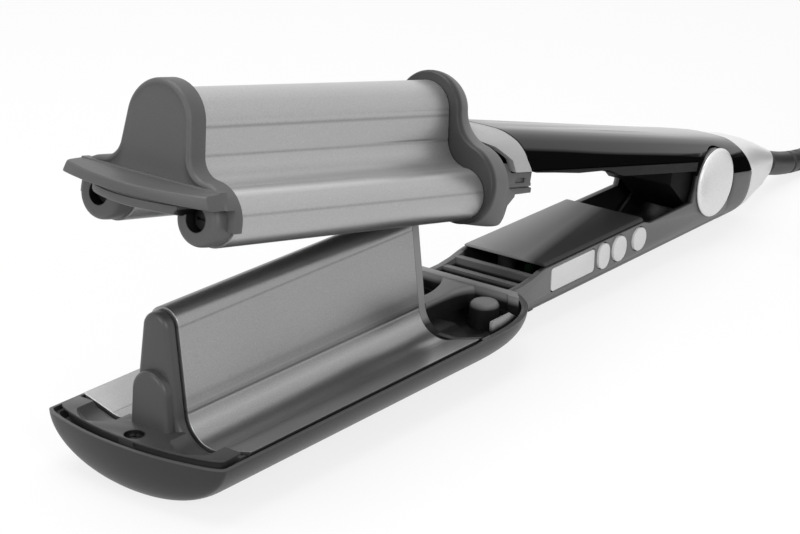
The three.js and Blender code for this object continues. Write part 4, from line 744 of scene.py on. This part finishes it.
def upper_front_cap():
    """A bell with a rounded rim round a sunk face, a curved lip, two barrel ends and their sockets.
    Each level of the bell is a place along X and how far its outline stands proud there."""
    levels = [(CAP_BACK, 2.2), (2.6, 2.2), (2.25, 2.13), (1.9, 1.93), (1.6, 1.62), (1.43, 1.25),
              (1.38, 0.95), (1.44, 0.7), (1.56, 0.5), (1.66, 0.1), (1.72, -0.6), (1.74, -1.8)]
    body = skin([bell_ring(x, proud) for x, proud in levels])
    cut(body, block(0, 9, -10.8, 10.8, 3, 7))
    side = BARREL[0] + BARREL_RADIUS - 4
    cut(body, block(0, 5, -40, -side, 3, 10.4), block(0, 5, side, 40, 3, 10.4))
    join(body, nose(-1), nose(1), block(1.5, 3.9, -BARREL[0], BARREL[0], 7, 14.6))
    room = np.vstack([arc(TIP, TIP_RADIUS + 1.5, math.pi / 2, FLANK, 18), [[9.3, 6.3], [9.3, -16]]])
    cut(body, prism(both_halves(room), 0, 3.9, 9))
    join(body, skin([lip_ring(share) for share in np.linspace(-1, 1, 49)]))
    join(body, skin([under_lip(share) for share in np.linspace(-1, 1, 33)]))
    return cut(body, *barrel_rods(-1, 9, 1.65), *barrel_rods(-1, 6.3, 3.2))


finished(upper_front_cap(), "upper_tip_cap", "head", "upper_arm", ["upper_front_cap"], "cap")


def rear_outline(tip_inset, lobe_inset, square=2.0):
    """The rear flange's bell, each part drawn in by its own amount. The outer lower quarter of its
    lobe is (|cos|^n + |sin|^n)^(-1/n) times the radius: round for n = 2, squarer above it."""
    lobe = REAR_LOBE_RADIUS - lobe_inset
    low = arc(REAR_LOBE, lobe, 0, -0.75 * math.pi, 36)[1:]
    for point in low:
        way = (point - REAR_LOBE) / lobe
        if way[0] > 0:
            point[:] = REAR_LOBE + (point - REAR_LOBE) * (abs(way) ** square).sum() ** (-1 / square)
    half = np.vstack([bell_half(DOME_RADIUS + 2.9 - tip_inset, 10.5 + lobe_inset, lobe, REAR_LOBE), low])
    return np.vstack([half, (half * [-1, 1])[:0:-1]])


def rear_flange():
    """The flange's outline at shares of its depth: a rounded front edge, a top that falls off to the
    back and lower corners that grow square, with a short ear on each side."""
    front_edge = [(0, 0.75), (0.02, 0.45), (0.06, 0.18), (0.12, 0.03), (0.2, 0)]
    rings = []
    for share, lobe in [*front_edge, *((v, 0) for v in np.linspace(0.3, 1, 9))]:
        back = max(share - 0.2, 0) / 0.8
        outline = rear_outline(lobe + 2.4 * back ** 2, lobe + 0.35 * back ** 4, 2 + 5 * back ** 1.5)
        rings.append(at_x(REAR_START + share * (REAR_END - REAR_START), outline))
    body = skin(rings)
    ears = prism(rear_outline(2.6, 0.4, 7), 0, REAR_END - 0.5, REAR_END + 6)
    side = np.array([[-0.5, -4], [-0.5, 17.5], [0, 16], [0.6, 11], [1.2, 8.8], [4.6, 7.5], [4.5, 6.6],
                     [1.3, 4.1], [0, -1]]) + [REAR_END, 0]
    common(ears, prism(side, 1, -40, 40))
    cut(ears, block(REAR_END - 1, REAR_END + 9, -16.6, 16.6, -10, 20))
    join(body, ears)
    cut(body, prism(rear_outline(4.4, 2.8), 0, REAR_START + 2, REAR_END + 9))
    return cut(body, *barrel_rods(110, REAR_END, 2.5))


finished(rear_flange(), "upper_flange", "head", "upper_arm", ["upper_rear_cap"], "flange", 0.25, 40)

# Lower head

def upright(x, low, high, radius):
    """A round bar along Z in the middle of the tool."""
    return rod([x, 0, low], [x, 0, high], radius)


def bow_share(bow):
    """Share of the full width: the root of a fifth of the way in, eased into one by a cubic."""
    if bow < 3.4:
        return math.sqrt(max(bow, 0) / BOW_LENGTH)
    t = min((bow - 3.4) / 3.2, 1)
    from_start = math.sqrt(0.68) * (2 * t ** 3 - 3 * t ** 2 + 1)
    from_slope = 1.6 / math.sqrt(17) * (t ** 3 - 2 * t ** 2 + t)
    return from_start + from_slope + 3 * t ** 2 - 2 * t ** 3


def hull_ring(x, inset, top, steps=56):
    """Half an ellipse below the rim whose width follows a curved bow and a rounded stern."""
    half = HALF_WIDTH - inset
    bow = x - inset + BOW_LENGTH
    back = min(max((x - STERN[0]) / (STERN[1] - inset - STERN[0]), 0), 1)
    width = half * ((1 - back ** 3) ** (1 / 2.4) if back > 0 else bow_share(bow))
    front = min(max(bow / 12.5, 0), 1)
    depth = (HULL_DEPTH - inset) * (1 - (1 - front) ** 2.5) ** 0.4 * (1 - back ** 4) ** (1 / 2.8)
    angle = np.linspace(0, np.pi, steps + 1)
    z = np.maximum(RIM - depth * np.sin(angle), KEEL + inset)
    ring = at_x(x, np.column_stack([-width * np.cos(angle), z]))
    return np.vstack([ring, [[x, width, top], [x, -width, top]]])


def hull_body(inset, top):
    """The hull's rings from bow to stern, close together where it curves."""
    bow = inset - BOW_LENGTH + BOW_LENGTH * np.linspace(0.08, 1, 20) ** 2
    curve = inset + 0.35 + 7.65 * np.linspace(0, 1, 16) ** 1.3
    stern = STERN[0] + (STERN[1] - inset - STERN[0]) * (1 - (1 - np.linspace(0, 0.93, 26)) ** 2)
    return skin([hull_ring(x, inset, top) for x in np.r_[bow, curve, stern]])


def handle_outline(growth):
    """The lower handle's section: upright sides and two rounded lower corners."""
    half, radius = HANDLE_HALF + growth, 6 + growth
    low = arc((half - radius, HANDLE_BOTTOM - growth + radius), radius, -math.pi / 2, 0, 14)
    return mirrored(np.vstack([low, [[half, 30]]]))


def lower_hull():
    """The hull less the same form one wall in, less the way through which the handle enters, its
    rim thinned by a rebate along the head and cut level."""
    body = hull_body(0, RIM_TOP)
    rebate = common(hull_body(0.8, 6), block(-8, STERN[0], -40, 40, -1.1, 6))
    cut(body, hull_body(HULL_WALL, 6), rebate)
    cut(body, prism(handle_outline(GAP), 0, LOWER_HANDLE_START - GAP, 170))
    for x, top in ((FRONT_SCREW_X, -5.35), (REAR_SCREW_X, -7.75)):
        join(body, common(upright(x, -14, top, 3.6), hull_body(0.6, RIM_TOP)))
    return cut(body, block(-20, 170, -40, 40, RIM_LINE, 6))


finished(lower_hull(), "lower_hull", "lower", "lower_arm", ["lower_head_shell"], "hull", 0.2)


def lower_plate():
    """A sheet bent over the ridge and through both troughs, with thin edges that reach out over
    the hull's rebate."""
    outer = both_halves(creased(ridge_half(0, EDGE_HALF + 1.4), [20, 21, 49], 0.08, 0.35))
    inner = both_halves(ridge_half(-PLATE_WALL, EDGE_HALF - 0.4))
    return prism(np.vstack([outer, inner[::-1]]), 0, PLATE_START, PLATE_END)


finished(lower_plate(), "lower_plate_metal", "lower", "lower_arm", ["lower_wave_plate"], "gunmetal", 0.2)


def eased(section, start, end, radius, steps=5):
    """Closed body along X with a round front edge: section gives the outline drawn in by radius
    times 1 - sin(a), at radius times 1 - cos(a) behind the front, for a from 0 to 90 degrees."""
    angle = np.linspace(0, math.pi / 2, steps + 1)
    rings = [at_x(start + radius * (1 - math.cos(a)), section(radius * (1 - math.sin(a)))) for a in angle]
    return skin([*rings, at_x(end, section(0))])


def plate_end(start, end, bottom, sink=0.3, radius=0.0):
    """The plate's section, sunk a little, down to a flat bottom, with a round front edge."""
    def section(inset):
        foot = [[EDGE_HALF, bottom], [-EDGE_HALF, bottom]]
        return np.vstack([both_halves(ridge_half(-sink - inset)), foot])
    return eased(section, start, end, radius) if radius else prism(section(0), 0, start, end)


def boss_section(inset):
    """Half a round-topped boss 6.1 mm in radius and slightly wider at its foot, mirrored."""
    half = np.vstack([[[6.8 - inset, -1]], arc((0, 11), 6.1 - inset, 0, math.pi / 2, 16)])
    return np.vstack([half, (half * [-1, 1])[:-1][::-1]])


def plan_inside(inset, start, end, steps=40):
    """The hull's plan drawn in by inset, from start to end, as X and Y."""
    x = start + (end - start) * (1 - np.cos(np.pi * np.linspace(0, 1, steps + 1))) / 2
    y = np.array([min(hull_ring(v, inset, 5)[-2, 1], EDGE_HALF) for v in x])
    return np.vstack([np.column_stack([x, y]), np.column_stack([x, -y])[::-1]])


def lower_front_cap():
    """Deck inside the bow with two dishes that run out towards the tip, a tab under the ridge's end,
    a boss, a screw's seat and a groove along the rim."""
    back = PLATE_START - 0.8
    body = prism(plan_inside(SEAT_INSET, -2.45, 10), 2, -5, 1.4)
    run = np.linspace(0, 1, 24)
    bowl = np.column_stack([4.9 + 3.4 * (3 * run ** 2 - 2 * run ** 3), 5.4 * run])
    bowl = np.vstack([[[0, 0]], bowl, [[8.3, 15], [0, 15]]])
    for s in SIDES:
        y = s * BARREL[0]
        cut(body, round_about(bowl, [-1.2, y, BARREL[1]], [0, y, BARREL[1]], 128))
        near, far = sorted((s * 2.5, s * 40))
        for inset, top in ((2.5, 4), (3.5, 0.8)):
            cut(body, cut(block(-6, 14, near, far, -3, top), hull_body(inset, 40)))
    join(body, plate_end(9, back, -5, 0.75, 1.5), eased(boss_section, 6.3, 11, 1.3))
    hollow = np.vstack([both_halves(ridge_half(-2.7, 20)), [[20, -30], [-20, -30]]])
    cut(body, prism(hollow, 0, 11, back + 1))
    seat = [[0, 0], [3, 0], [3, 2.2], [2.7, 2.3], [2.7, 8], [0, 8]]
    cut(body, round_about(seat, [FRONT_SCREW_X, 0, SCREW_SEAT], [FRONT_SCREW_X, 0, 0]))
    cut(body, upright(FRONT_SCREW_X, -9, 5, 1.9))
    return common(body, hull_body(SEAT_INSET, 40))


finished(lower_front_cap(), "lower_tip_cap", "lower", "lower_arm", ["lower_front_cap"], "deck", 0.35)


def spine_ring(x):
    """The wall between the pockets: narrow, then wider on a curve to the stern, with a rounded top."""
    half = 2.9 + 10 * math.exp((x - 150) / 3.6)
    top = 1.9 + 0.9 * max(0, min((x - 136) / 8, 1))
    corner = arc((half - 1.2, top - 1.2), 1.2, 0, math.pi / 2, 6)
    return at_x(x, mirrored(np.vstack([[[half + 0.5, -4]], corner])))


def lower_rear_cap():
    """Deck in the stern with two pockets, dark with painted shade, a round wall behind them, a knob in
    each, and the ridge's end wall in front."""
    front = PLATE_END + GAP
    body = prism(plan_inside(SEAT_INSET, front + 1, 149.5), 2, -7.4, -2.2)
    collar = prism(plan_inside(2.75, 124, 149.3), 2, -4, 3.2)
    join(body, cut(collar, prism(plan_inside(5.6, 114, 146.2), 2, -5, 4)))
    cut(body, *barrel_rods(front + 3, 145.5, 11.3, 96), block(front + 3, 134, -27.5, 27.5, -3.4, 6))
    pockets = prism(plan_inside(7.4, 130, 144.4), 2, -6.2, 0)
    cut(body, cut(pockets, block(129, 150, -3.6, 3.6, -7, 1)))
    spine = skin([spine_ring(x) for x in np.linspace(front + 1, 148.5, 40)])
    join(body, plate_end(front, front + 3, -7.4), spine)
    dome = [[0, -7], [4.6, -7], *arc((2.6, 0.0), 2.0, 0, math.pi / 2, 8), [0, 2.1]]
    for s in SIDES:
        join(body, round_about(dome, [140, s * 14.5, 0], [140, s * 14.5, 1]))
    cut(body, upright(REAR_SCREW_X, SCREW_SEAT, 10, 3.3), upright(REAR_SCREW_X, -20, 10, 2))
    return common(body, hull_body(SEAT_INSET, 40))


finished(lower_rear_cap(), "stern_cup", "lower", "lower_arm", ["lower_rear_cap"], "cup")

# Upper handle: heights of its top along X, and its curved edge at the neck in X and Z

TOP_X = [127, 160, 184, 227, 254, 275, 290, SEAM_X]
TOP_Z = [26.5, 25.4, 24.4, 22.8, 21.9, 21.3, 20.7, 19.9]
NECK_END = 156.9
NECK_EDGE = [[155.5, 15.4], [153.4, 17.5], [151.9, 19.9], [149.7, 22.8], [146.6, 25.3], [142.8, 27.5],
             [137, 30]]


def upper_ring(x, bottom, inset):
    """The upper handle's section: upright sides, rounded shoulders and an almost flat top."""
    share = max(0, (x - TAPER_START) / (SEAM_X - TAPER_START))
    half = HANDLE_HALF - 3.6 * share ** 1.5 - inset
    top = np.interp(x, TOP_X, TOP_Z) - inset
    radius = UPPER_CORNER - inset
    shoulder = arc((half - radius, top - radius), radius, 0, math.pi / 2 - 0.12, 18)
    right = np.vstack([[[half, bottom]], shoulder, [[half - radius - 3, top + 0.15]]])
    return at_x(x, mirrored(right))


def upper_body(start, end, bottom, inset, steps=40):
    """The upper handle's form, drawn in by inset, from start to end."""
    return skin([upper_ring(x, bottom, inset) for x in np.linspace(start, end, steps + 1)])


def before_neck_edge(gap):
    """The space in front of the curved edge where the neck meets the handle."""
    outline = [[100, 10], [NECK_END, 10], [NECK_END, 13.4], *NECK_EDGE, [100, 30]]
    return prism(np.array(outline) + [1.2 * gap, gap], 1, -20, 20)


def behind_seam(gap):
    """The space behind the tail's slanted joint, moved back by a gap square to both its lines."""
    lift = (math.hypot(SEAM_RISE, SEAM_RUN) - SEAM_RISE) / SEAM_RUN * gap
    top, back = SEAM_Z + 2 * SEAM_RISE, SEAM_X + 60
    outline = [[SEAM_X - 2 * SEAM_RUN, top], [SEAM_X, SEAM_Z], [SEAM_X, -30], [back, -30], [back, top]]
    return prism(np.array(outline) + [gap, lift], 1, -30, 30)


def upper_shell():
    """The handle's skin, open below, with room for the hinge's ears."""
    body = upper_body(138, SEAM_X, SHELL_BOTTOM, 0)
    inside = upper_body(137, SEAM_X + 0.5, SHELL_BOTTOM - 1, HANDLE_WALL)
    cut(body, inside, block(137, 262.35, -20, 20, 0, COVER_SPLIT))
    return cut(body, hinge_rod(12.3, 96), before_neck_edge(GAP), behind_seam(-GAP / 2))


finished(upper_shell(), "upper_grip", "upper", "upper_arm", ["upper_handle_shell"], "gloss")


def upper_neck():
    """The grey collar between flange and handle, cut to its curved edge."""
    def front(z):
        return REAR_END + GAP - (z - BARREL[1]) * math.tan(TILT)
    body = upper_body(120, 160, SHELL_BOTTOM, 0)
    cut(body, upper_body(119, 161, SHELL_BOTTOM - 1, 2.6))
    side = [[front(30), 30], [front(23.6), 23.6], [136.3, 21.7], [145.1, 17.6], [148, 13.8],
            [NECK_END, 13.8], *NECK_EDGE]
    return common(body, prism(side, 1, -17, 17))


finished(upper_neck(), "upper_collar", "upper", "upper_arm", ["upper_neck"], "neck")


def neck_bracket():
    """A block under the collar with a notched back, a slit along its side and the wires' channel."""
    front = REAR_END + 0.45
    side = [[front, 6.7], [151.4, 6.6], [160.1, 6.9], [160.1, 8.3], [159.5, 8.8], [159.5, 9.8],
            [159.05, 10.2], [159.05, 13.4], [147.4, 13.4], [144.2, 16.4], [front - 0.15, 16.4]]
    body = prism(side, 1, -14.6, 14.6)
    cut(body, block(120, 165, -11.5, 11.5, SHELL_BOTTOM, 20))
    for s in SIDES:
        low, high = sorted((s * 13.9, s * 15))
        cut(body, block(140, 165, low, high, 8.5, 9.0), block(150.5, 155.5, low, high, 10.2, 11.6))
    return body


finished(neck_bracket(), "collar_bracket", "upper", "upper_arm", ["neck_bracket"], "dark")

# Tail: places along X with half the width, the bottom and the top there

TAIL = np.array([
    [286, 15.2, -11.4, 20.9], [296, 14.2, -11, 20.5], [308, 12.7, -9, 20], [317, 10.9, -7, 18.8],
    [328, 7.9, -3.2, 16.8], [334, 6.6, -1.1, 15.4], [341, 5.1, 3.8, 14.0],
])
RELIEF_LENGTH, RELIEF_BEND = 47, math.radians(20)


def tail_body(inset, start, end):
    """Rings through the tail's stations, made fuller than ellipses by a power of 0.8 on the cosine
    and the sine."""
    angle = np.linspace(0, 2 * np.pi, 73)[:-1]
    lean, rise = (np.sign(v) * np.abs(v) ** 0.8 for v in (np.cos(angle), np.sin(angle)))
    rings = []
    for x in np.linspace(start, end, 40):
        half, low, high = (np.interp(x, TAIL[:, 0], TAIL[:, k]) for k in (1, 2, 3))
        z = (low + high) / 2 + ((high - low) / 2 - inset) * rise
        rings.append(at_x(x, np.column_stack([(half - inset) * lean, z])))
    return skin(rings)


def tail_axis(distance):
    """A point on the swivel's line, which leans down from the tail's end."""
    way = np.array([math.cos(TAIL_TILT), 0, -math.sin(TAIL_TILT)])
    return np.array([TAIL_END, 0, TAIL_AXIS_Z]) + distance * way


def tail_end():
    """The silver end of the tail, hollow, cut square to the swivel, with its bore."""
    body = tail_body(0, 287, 341)
    common(body, behind_seam(GAP / 2), rod(tail_axis(-70), tail_axis(0), 40))
    return cut(body, tail_body(1.6, 286.5, 334), rod(tail_axis(-30), tail_axis(5), 3.35))


finished(tail_end(), "tail_ring", "upper", "upper_arm", ["tail_cap"], "ring", 0.25)


def tail_heel():
    """The dark underside of the tail, hollow, round the lower arm's heel."""
    body = tail_body(0, 286.5, SEAM_X)
    common(body, block(280, 320, -20, 20, -20, 8.85))
    return cut(body, tail_body(HANDLE_WALL, 286, 312), hinge_rod(17.7, 128), behind_seam(-GAP / 2))


finished(tail_heel(), "tail_underside", "upper", "upper_arm", ["tail_housing"], "dark", 0.25)


def swivel():
    """Collar and flange turned about the swivel's line."""
    profile = [[0, -9.5], [3.8, -9.5], [3.8, -7], [3, -7], [3, 0.35], [4.4, 0.35], [4.4, 2.4], [0, 2.4]]
    return round_about(profile, tail_axis(0), tail_axis(1))


finished(swivel(), "swivel_ring", "upper", "swivel", ["swivel_collar"], "cord", 0.2)


def relief_point(h):
    """Middle line of the bend protector: an arc that bends up over its whole length."""
    radius = RELIEF_LENGTH / RELIEF_BEND
    end = h / radius - TAIL_TILT
    along = radius * (math.sin(end) + math.sin(TAIL_TILT))
    return tail_axis(2.75) + [along, 0, radius * (math.cos(TAIL_TILT) - math.cos(end))]


def relief():
    """A taper from 4.65 to 3.75 mm with four soft grooves, along its curved middle line."""
    h = np.linspace(0, RELIEF_LENGTH, 190)
    radius = 4.65 - 0.9 * h / RELIEF_LENGTH
    radius -= 0.55 * sum(np.exp(-(((h - at) / 0.75) ** 4)) for at in 19.2 + 6 * np.arange(4))
    radius -= 0.4 * np.exp(-((h / 0.5) ** 2)) + 0.4 * np.exp(-(((RELIEF_LENGTH - h) / 0.6) ** 2))
    angle = np.linspace(0, 2 * np.pi, 49)[:-1]
    rings = []
    for at, r in zip(h, radius):
        ahead = relief_point(at + 0.01) - relief_point(at - 0.01)
        up = np.cross(ahead / np.linalg.norm(ahead), [0, 1, 0])
        spoke = np.cos(angle)[:, None] * [0, 1, 0] + np.sin(angle)[:, None] * up
        rings.append(relief_point(at) + r * spoke)
    return skin(rings)


finished(relief(), "bend_protector", "upper", "swivel", ["strain_relief"], "cord", 0, 40)


def hinge_cap(side):
    """A domed disc: a short rim, then a quarter ellipse to its middle."""
    rise = np.linspace(0, math.pi / 2, 15)
    dome = np.column_stack([11.7 * np.cos(rise), 0.7 + 1.4 * np.sin(rise)])
    profile = np.vstack([[[0, 0], [12, 0], [12, 0.6]], dome])
    foot = HINGE + [0, side * (HANDLE_HALF + GAP), 0]
    return round_about(profile, foot, foot + [0, side, 0], 96)


for side, where in zip(SIDES, ("near", "far")):
    disc = "hinge_disc_" + where
    finished(hinge_cap(side), "hinge_cap_" + where, "lower", "lower_arm", [disc], "ring", 0.15, 50)

# Lead

CORD_RADIUS = 3.0
COIL_INNER, COIL_PITCH, COIL_TURNS = 24.6, 7.4, 1.75
COIL_LAYERS, SPIRAL_STEPS, CLIMB_STEPS = 4, 42, 12
COIL_OUTER = COIL_INNER + COIL_PITCH * COIL_TURNS
COIL_Z = KEEL + 1 + 0.7 + CORD_RADIUS
COIL_CENTRE = np.array([432.0, 9.5 - COIL_OUTER, COIL_Z])


def coil_route():
    """Spirals in, climbs one pitch in half a turn, spirals out, and so on over all layers."""
    legs = []
    at = 0.0
    for layer in range(COIL_LAYERS):
        inward = layer % 2 == 0
        share = np.arange(0, 1, 1 / SPIRAL_STEPS)
        way = COIL_PITCH * COIL_TURNS * share
        radius = COIL_OUTER - way if inward else COIL_INNER + way
        legs.append([at + COIL_TURNS * share, radius, np.full(SPIRAL_STEPS, layer * COIL_PITCH)])
        at += COIL_TURNS
        if layer < COIL_LAYERS - 1:
            share = np.arange(0, 1, 1 / CLIMB_STEPS)
            radius = np.full(CLIMB_STEPS, COIL_INNER if inward else COIL_OUTER)
            legs.append([at + share / 2, radius, (layer + share) * COIL_PITCH])
            at += 0.5
    legs.append([[at], [COIL_OUTER], [(COIL_LAYERS - 1) * COIL_PITCH]])
    turn, radius, height = np.hstack(legs)
    angle = np.pi / 2 - 2 * np.pi * turn
    return COIL_CENTRE + np.column_stack([radius * np.cos(angle), radius * np.sin(angle), height])


coil = coil_route()
coil_in = coil[0] + [-6, 0, 0]
coil_out = coil[-1] + [-6, 0, 0]
TABLE_Z = KEEL + CORD_RADIUS + 0.35
PLUG_Z = KEEL + 6.8
y_out = coil_out[1]
lead_start = about_y(relief_point(RELIEF_LENGTH + 0.45), HINGE, OPEN)
share = np.linspace(0, 1, 9)
swing = np.where(share < 0.5, 2 * share ** 2, 1 - 2 * (1 - share) ** 2)
LEAD = [
    *(lead_start + (coil_in - lead_start) * np.column_stack([share, swing, swing]))[:-1],
    coil_in, *coil, coil_out, coil_out + [-4, 0, 0],
    [412, y_out, coil_out[2] - 0.8], [398, y_out, coil_out[2] - 6], [384, y_out, coil_out[2] - 13],
    [372, y_out, TABLE_Z + 3.4], [360, y_out, TABLE_Z + 1.6], [348, y_out, PLUG_Z - 0.8],
    [336, y_out, PLUG_Z], [330, y_out, PLUG_Z],
]


def on_line(a, b, start, end, t):
    """The straight line that is at a for start and at b for end, read at t."""
    return a + (b - a) * (t - start) / (end - start)


def smooth_route(points, steps=5):
    """Catmull-Rom curve through points, its pace set by the root of each gap."""
    p = np.asarray(points, float)
    p = np.vstack([2 * p[0] - p[1], p, 2 * p[-1] - p[-2]])
    route = []
    for a, b, c, d in zip(p[:-3], p[1:-2], p[2:-1], p[3:]):
        t1, t2, t3 = np.cumsum([np.linalg.norm(v) ** 0.5 for v in (b - a, c - b, d - c)])
        t = np.linspace(t1, t2, steps + 1)[:-1, None]
        ab = on_line(a, b, 0, t1, t)
        bc = on_line(b, c, t1, t2, t)
        cd = on_line(c, d, t2, t3, t)
        route.append(on_line(on_line(ab, bc, 0, t2, t), on_line(bc, cd, t1, t3, t), t1, t2, t))
    return np.vstack(route + [p[-2][None]])


def tube(route, radius, sides=20):
    """Rings square to the route, level across, with flat ends."""
    ahead = np.gradient(route, axis=0)
    ahead /= np.linalg.norm(ahead, axis=1)[:, None]
    across = np.cross([0, 0, 1], ahead)
    across /= np.linalg.norm(across, axis=1)[:, None]
    up = np.cross(ahead, across)
    angle = np.linspace(0, 2 * np.pi, sides + 1)[:-1]
    spoke = np.cos(angle)[None, :, None] * across[:, None] + np.sin(angle)[None, :, None] * up[:, None]
    return skin(route[:, None] + radius * spoke)


ROUTE = smooth_route(LEAD)
lead = finished(tube(ROUTE, CORD_RADIUS), "mains_lead", "table", "upper_arm",
                ["cord_lead", "cord_coil", "cord_end"], "cord", 0, 60)
LEAD_PATH = placed(ROUTE, "table")

# Nodes that keep their own mesh

UNCHANGED = {
    "ceramic": ["lower_heater", "thermistor", "barrel_heater_near", "barrel_heater_far"],
    "steel": ["heater_clamp", "lower_front_screw", "lower_rear_screw", "upper_cover_screw_1",
              "upper_cover_screw_2"],
    "brass": ["thermal_fuse", "hinge_bush_near", "hinge_bush_far"],
    "board": ["control_board"],
    "black": ["minus_switch", "plus_switch", "power_switch"],
    "dull": ["barrel_screw_near", "barrel_screw_far"],
}
for look, names in UNCHANGED.items():
    for name in names:
        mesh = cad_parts[name].data
        mesh.materials.clear()
        mesh.materials.append(LOOKS[look].material)

# Studio

def lamp(name, place, target, size, power):
    """A soft square lamp that looks at a point."""
    data = bpy.data.lights.new(name, "AREA")
    data.shape = "RECTANGLE"
    data.size = size
    data.size_y = size
    data.energy = power
    light = bpy.data.objects.new(name, data)
    bpy.context.scene.collection.objects.link(light)
    turn = (Vector(target) - Vector(place)).to_track_quat("-Z", "Y")
    light.matrix_world = Matrix.Translation(Vector(place)) @ turn.to_matrix().to_4x4()


def surround():
    """A world that is white where it is seen and dimmer as a light."""
    world = bpy.data.worlds.new("surround")
    bpy.context.scene.world = world
    world.use_nodes = True
    sky = Nodes(world.node_tree)
    background = sky.tree.nodes["Background"]
    sky.feed(background.inputs["Color"], (1, 1, 1, 1))
    sky.feed(background.inputs["Strength"], sky.ramp(sky.seen(), 0, 1, 0.45, 1.0))


def pale_floor():
    """A wide floor that is almost white where it is seen and a lit grey otherwise."""
    floor = new_piece("floor", [(-6, -6, 0), (6, -6, 0), (6, 6, 0), (-6, 6, 0)], [(0, 1, 2, 3)])
    look = Finish("pale_floor", None, 0.86, 0.9)
    lit = Signal(look, look.shader.outputs[0])
    white = look.node("ShaderNodeEmission")
    mix = look.node("ShaderNodeMixShader", {}, {0: look.seen() * 0.8, 1: lit, 2: white})
    look.feed(look.tree.nodes["Material Output"].inputs["Surface"], mix)
    floor.data.materials.append(look.material)


bpy.context.scene.view_settings.view_transform = "Standard"
surround()
pale_floor()
lamp("top", (-0.1, 0.15, 0.9), (-0.05, 0, 0.05), 0.7, 6.0)
lamp("near", (-0.5, -0.8, 0.45), (-0.05, 0, 0.05), 0.4, 3.0)
lamp("tip", (-1.0, 0.1, 0.4), (-0.1, 0, 0.05), 0.3, 2.0)
